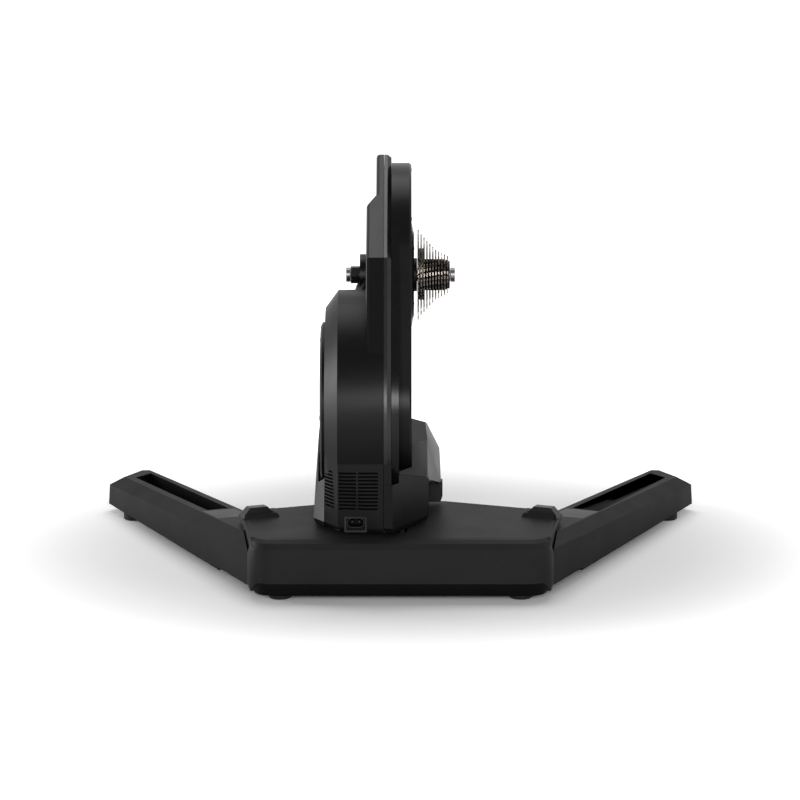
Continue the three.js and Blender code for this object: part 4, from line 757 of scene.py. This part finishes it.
class TRAINER_OT_spacers(TrainerOperator, bpy.types.Operator):
    """The black sleeves between the loose sprockets"""

    bl_idname = "trainer.spacers"
    bl_label = "Cassette spacers"

    def execute(self, context):
        sizes = context.scene.trainer_sizes
        centre = middle_of("lockring")
        loose = sorted((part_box(node)[0].x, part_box(node)[1].x, node) for node in loose_sprockets())
        for low, high, node in loose:
            teeth = int(node.split("_")[1])
            root = sizes.chain_pitch / (2 * math.sin(math.pi / teeth)) - sizes.chain_root
            outer = min(sizes.spacer, root - sizes.sprocket_edge) + sizes.sleeve
            inner, face = outer - 2 * sizes.sleeve, high - sizes.sprocket_thickness
            profile = [(inner, low), (outer, low), (outer, face), (inner, face)]
            name = "spacer_sleeve_%d" % teeth
            data = turned_form(name, profile, centre, 60)
            smooth_by_angle(data)
            piece_from(name, data, "cassette", "pan")
        return {"FINISHED"}


class TRAINER_OT_screws(TrainerOperator, bpy.types.Operator):
    """Button-head screws round the belt cover and the drum cover, and on the hub disc"""

    bl_idname = "trainer.screws"
    bl_label = "Screws"

    def execute(self, context):
        sizes = context.scene.trainer_sizes
        hub, drum = middle_of("hub_disc"), middle_of("rotor")
        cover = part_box("belt_cover")
        face = cover[1].x
        radius = cover[1].y - hub[0] - sizes.screw_inset
        for index, angle in enumerate(COVER_SCREW_ANGLES):
            self.put("cover_screw_%d" % index, face, hub, radius, angle, 1)
        radius = sizes.lower_round - sizes.screw_inset
        self.put("cover_screw_low", face, drum, radius, LOW_SCREW_ANGLE, 1)
        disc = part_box("hub_disc")
        for index in range(sizes.disc_screws):
            angle = 360 * (index + 0.5) / sizes.disc_screws
            self.put("disc_screw_%d" % index, disc[1].x, hub, sizes.disc_screw_circle, angle, 1)
        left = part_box("drum_cover")
        radius = sizes.drum_screw_share * (cover[1].y - cover[0].y) / 2
        for index in range(sizes.disc_screws):
            angle = 360 * (index + 0.5) / sizes.disc_screws
            self.put("drum_screw_%d" % index, left[0].x, drum, radius, angle, -1)
        return {"FINISHED"}

    def put(self, name, x, centre, radius, angle, side):
        sizes = bpy.context.scene.trainer_sizes
        turn = math.radians(angle)
        place = (centre[0] + radius * math.cos(turn), centre[1] + radius * math.sin(turn))
        profile = [
            (share * sizes.screw_head, x + side * height * sizes.screw_rise)
            for share, height in SCREW_PROFILE
        ]
        data = turned_form(name, profile, place, 20)
        smooth_by_angle(data, 25)
        piece_from(name, data, "carriage", "oxide")


class TRAINER_OT_shade_sheets(TrainerOperator, bpy.types.Operator):
    """Near-black sheets behind the body's seam and its corner vents as painted shade, and what closes the
    near corners of the base
    """

    bl_idname = "trainer.seals"
    bl_label = "Seals and corners"

    def execute(self, context):
        sizes = context.scene.trainer_sizes
        # A sheet of painted shade behind the body's seam
        seam = (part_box("housing_left")[1].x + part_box("housing_right")[0].x) / 2
        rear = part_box("housing_right")[0].y + sizes.seam_sheet_depth
        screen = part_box("dust_screen")
        low = (seam - sizes.seam_sheet, rear, screen[0].z)
        high = (seam + sizes.seam_sheet, rear + sizes.seam_sheet / 2, screen[1].z)
        box_piece("seam_seal", low, high, "carriage", "foam_and_shade")
        for side, name in ((-1, "left"), (1, "right")):
            self.close_corner(sizes, side, name)
        # A sheet of painted shade behind the vents round the left corner, along its facet, which leaves the
        # rear wall at an angle
        along = Vector((-math.cos(sizes.facet_turn), math.sin(sizes.facet_turn), 0))
        inwards = Vector((along.y, -along.x, 0))
        start = Vector((screen[0].x - sizes.facet_side, screen[0].y - sizes.facet_rear, screen[0].z))
        corners = [
            start + along * reach + inwards * depth
            for reach in (sizes.vent_sheet_from, sizes.vent_sheet_to)
            for depth in (sizes.vent_sheet_inset, sizes.vent_sheet_back)
        ]
        rise = Vector((0, 0, screen[1].z - screen[0].z))
        points = corners + [corner + rise for corner in corners]
        hull_piece("vent_baffle", points, "carriage", "foam_and_shade")
        return {"FINISHED"}

    def close_corner(self, sizes, side, name):
        """A guard on a near corner that hides the gap to the leg's root, and the end of the side lip."""
        low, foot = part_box("base_shell")[0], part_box("base_pan")[0].z
        top, side_y = low.z + sizes.corner_height, low.y + sizes.corner_radius
        radius, wide = sizes.corner_radius, sizes.corner_radius + sizes.guard
        flush = radius - sizes.guard_sink
        # Up the guard: height at the side, reach there, and height at the far end of the turn
        levels = (
            (foot + sizes.shell_edge, radius, low.z), (foot + sizes.guard_taper, wide, low.z),
            (top - sizes.guard_taper, wide, top), (top, flush, top),
        )
        points = []
        for start, reach, end in levels:
            points += corner_arc(sizes, side, (reach, flush), (start, end), sizes.guard_turn)
            points += [
                (side * (sizes.corner_x + across), side_y + sizes.guard_run, start)
                for across in (reach, radius / 2)
            ]
        guard = hull_piece("corner_guard_" + name, points, "base", "base")
        smooth_by_angle(guard.data, 30)
        # Across the lip: inset from the base's side, and height
        ridge = top + sizes.shoulder_rise
        section = (
            (0, top), (0, ridge - 2 * sizes.lip_roll), (sizes.lip_roll, ridge - sizes.lip_roll / 2),
            (sizes.lip_depth, ridge - sizes.lip_roll / 2),
        )
        points = corner_arc(sizes, side, (radius, radius), (top, top), sizes.lip_turn)
        points += [(side * (sizes.corner_x + radius - inset), side_y, z) for inset, z in section]
        end = hull_piece("lip_end_" + name, points, "base", "base")
        smooth_by_angle(end.data, 30)


class TRAINER_OT_hub(TrainerOperator, bpy.types.Operator):
    """The hollow axle, its end caps and nut, and the belt drive behind the cover"""

    bl_idname = "trainer.hub"
    bl_label = "Hub and belt drive"

    def execute(self, context):
        sizes = context.scene.trainer_sizes
        for node in ("end_cap_left", "end_cap_right"):
            dressed(node, "anodised", sizes.metal_edge)
        dressed("big_pulley", "dark_anodised", sizes.metal_edge)
        for node in ("hub_axle", "pulley_bearing"):
            dressed(node, "steel", sizes.metal_edge)
        dressed("axle_nut", "oxide", sizes.nut_edge)
        dressed("belt", "rubber", sizes.metal_edge)
        return {"FINISHED"}


class TRAINER_OT_motor(TrainerOperator, bpy.types.Operator):
    """The motor brake in the drum and its control board"""

    bl_idname = "trainer.motor"
    bl_label = "Motor brake"

    def execute(self, context):
        edge = context.scene.trainer_sizes.metal_edge
        dressed("rotor", "iron", edge)
        dressed("stator", "copper", edge)
        for node in ("motor_shaft", "motor_bearing_left", "motor_bearing_right"):
            dressed(node, "steel", edge)
        dressed("control_board", "laminate", edge)
        return {"FINISHED"}


class TRAINER_OT_stage(TrainerOperator, bpy.types.Operator):
    """The camera, the pale floor, the studio's white backdrop and the soft lamps"""

    bl_idname = "trainer.stage"
    bl_label = "Studio"

    def execute(self, context):
        scene = context.scene
        stage = scene.trainer_stage
        self.place_camera(scene, stage)
        self.lay_floor(stage, scene.trainer_colours.floor)
        self.light_world(scene, stage)
        for name, power, width, height, place in SOFTBOXES:
            softbox(name, getattr(stage, power), width, height, place, LIT_POINT)
        scene.view_settings.view_transform = "Standard"
        return {"FINISHED"}

    def place_camera(self, scene, stage):
        data = bpy.data.cameras.new("camera")
        data.lens = stage.lens
        data.sensor_width = SENSOR
        # Half a pixel: the picture's middle lies between two pixels
        data.shift_x = -0.5 / FRAME_WIDTH
        data.clip_end = 60
        camera = bpy.data.objects.new("camera", data)
        camera.location = (0, -stage.distance, stage.height)
        camera.rotation_euler = (math.pi / 2 - stage.pitch, 0, 0)
        scene.collection.objects.link(camera)
        scene.camera = camera

    def lay_floor(self, stage, colour):
        form = bmesh.new()
        bmesh.ops.create_circle(form, cap_ends=True, segments=96, radius=stage.floor_radius)
        data = mesh_of(form, "studio_floor")
        floor = bpy.data.objects.new("studio_floor", data)
        floor.location.z = -FLOOR_GAP
        bpy.context.scene.collection.objects.link(floor)
        material, tree = start_material("painted_studio_floor")
        # Matt paint, lit by the lamps round the trainer: further out it goes over into the white backdrop
        matt = add_node(tree, "ShaderNodeBsdfDiffuse", Color=rgba(colour))
        place = add_node(tree, "ShaderNodeTexCoord").outputs["Object"]
        reach = add_node(tree, "ShaderNodeVectorMath", {"operation": "LENGTH"}, i0=place)
        level = add_node(tree, "ShaderNodeMapRange", {"interpolation_type": "SMOOTHSTEP"},
                         i0=reach.outputs["Value"], i1=stage.pool_inner, i2=stage.pool_outer,
                         i3=stage.floor_glow, i4=1.0)
        seen = add_node(tree, "ShaderNodeMath", {"operation": "MULTIPLY"}, i0=level.outputs["Result"],
                        i1=seen_directly(tree))
        glow = add_node(tree, "ShaderNodeEmission", Color=rgba((1, 1, 1)), Strength=seen.outputs["Value"])
        both = add_node(tree, "ShaderNodeAddShader", i0=matt.outputs["BSDF"], i1=glow.outputs["Emission"])
        add_node(tree, "ShaderNodeOutputMaterial", Surface=both.outputs["Shader"])
        data.materials.append(material)

    def light_world(self, scene, stage):
        world = bpy.data.worlds.new("studio")
        world.use_nodes = True
        scene.world = world
        tree = world.node_tree
        tree.nodes.clear()
        # White backdrop all round, dimmer where the studio is open, above and in front
        way = add_node(tree, "ShaderNodeTexCoord").outputs["Generated"]
        rise = stage.dim_rise
        nearness = add_node(tree, "ShaderNodeVectorMath", {"operation": "DOT_PRODUCT"}, i0=way,
                            i1=(0, -math.cos(rise), math.sin(rise)))
        field = add_node(tree, "ShaderNodeMapRange", {"interpolation_type": "SMOOTHSTEP"},
                         i0=nearness.outputs["Value"], i1=math.cos(stage.dim_outer),
                         i2=math.cos(stage.dim_inner), i3=1.0, i4=stage.dim_level)
        # Seen directly or mirrored it is white, and it lights the trainer at a lower level
        level = add_node(tree, "ShaderNodeMapRange", i0=seen_directly(tree), i3=stage.world_light, i4=1.0)
        both = add_node(tree, "ShaderNodeMath", {"operation": "MULTIPLY"}, i0=field.outputs["Result"],
                        i1=level.outputs["Result"])
        sky = add_node(tree, "ShaderNodeBackground", Color=rgba((1, 1, 1)), Strength=both.outputs["Value"])
        add_node(tree, "ShaderNodeOutputWorld", Surface=sky.outputs["Background"])


class TRAINER_PT_panel(bpy.types.Panel):
    bl_idname = "TRAINER_PT_panel"
    bl_label = "Direct drive bike trainer"
    bl_space_type = "VIEW_3D"
    bl_region_type = "UI"
    bl_category = "Trainer"

    def draw(self, context):
        for operator in OPERATORS:
            self.layout.operator(operator.bl_idname)
        for group in ("trainer_colours", "trainer_sizes", "trainer_stage"):
            settings = getattr(context.scene, group)
            box = self.layout.box()
            for name in settings.bl_rna.properties.keys():
                if name not in ("rna_type", "name"):
                    box.prop(settings, name)


OPERATORS = (
    TRAINER_OT_stage, TRAINER_OT_housings, TRAINER_OT_castings, TRAINER_OT_underside,
    TRAINER_OT_releases, TRAINER_OT_inlet, TRAINER_OT_cassette, TRAINER_OT_spacers, TRAINER_OT_hub,
    TRAINER_OT_motor, TRAINER_OT_screws, TRAINER_OT_shade_sheets,
)
CLASSES = (TrainerColours, TrainerSizes, TrainerStage, *OPERATORS, TRAINER_PT_panel)


def register():
    for cls in CLASSES:
        bpy.utils.register_class(cls)
    bpy.types.Scene.trainer_colours = PointerProperty(type=TrainerColours)
    bpy.types.Scene.trainer_sizes = PointerProperty(type=TrainerSizes)
    bpy.types.Scene.trainer_stage = PointerProperty(type=TrainerStage)


def unregister():
    del bpy.types.Scene.trainer_stage
    del bpy.types.Scene.trainer_sizes
    del bpy.types.Scene.trainer_colours
    for cls in reversed(CLASSES):
        bpy.utils.unregister_class(cls)


def main():
    register()
    for operator in OPERATORS:
        group, name = operator.bl_idname.split(".")
        getattr(getattr(bpy.ops, group), name)()


if __name__ == "__main__":
    main()
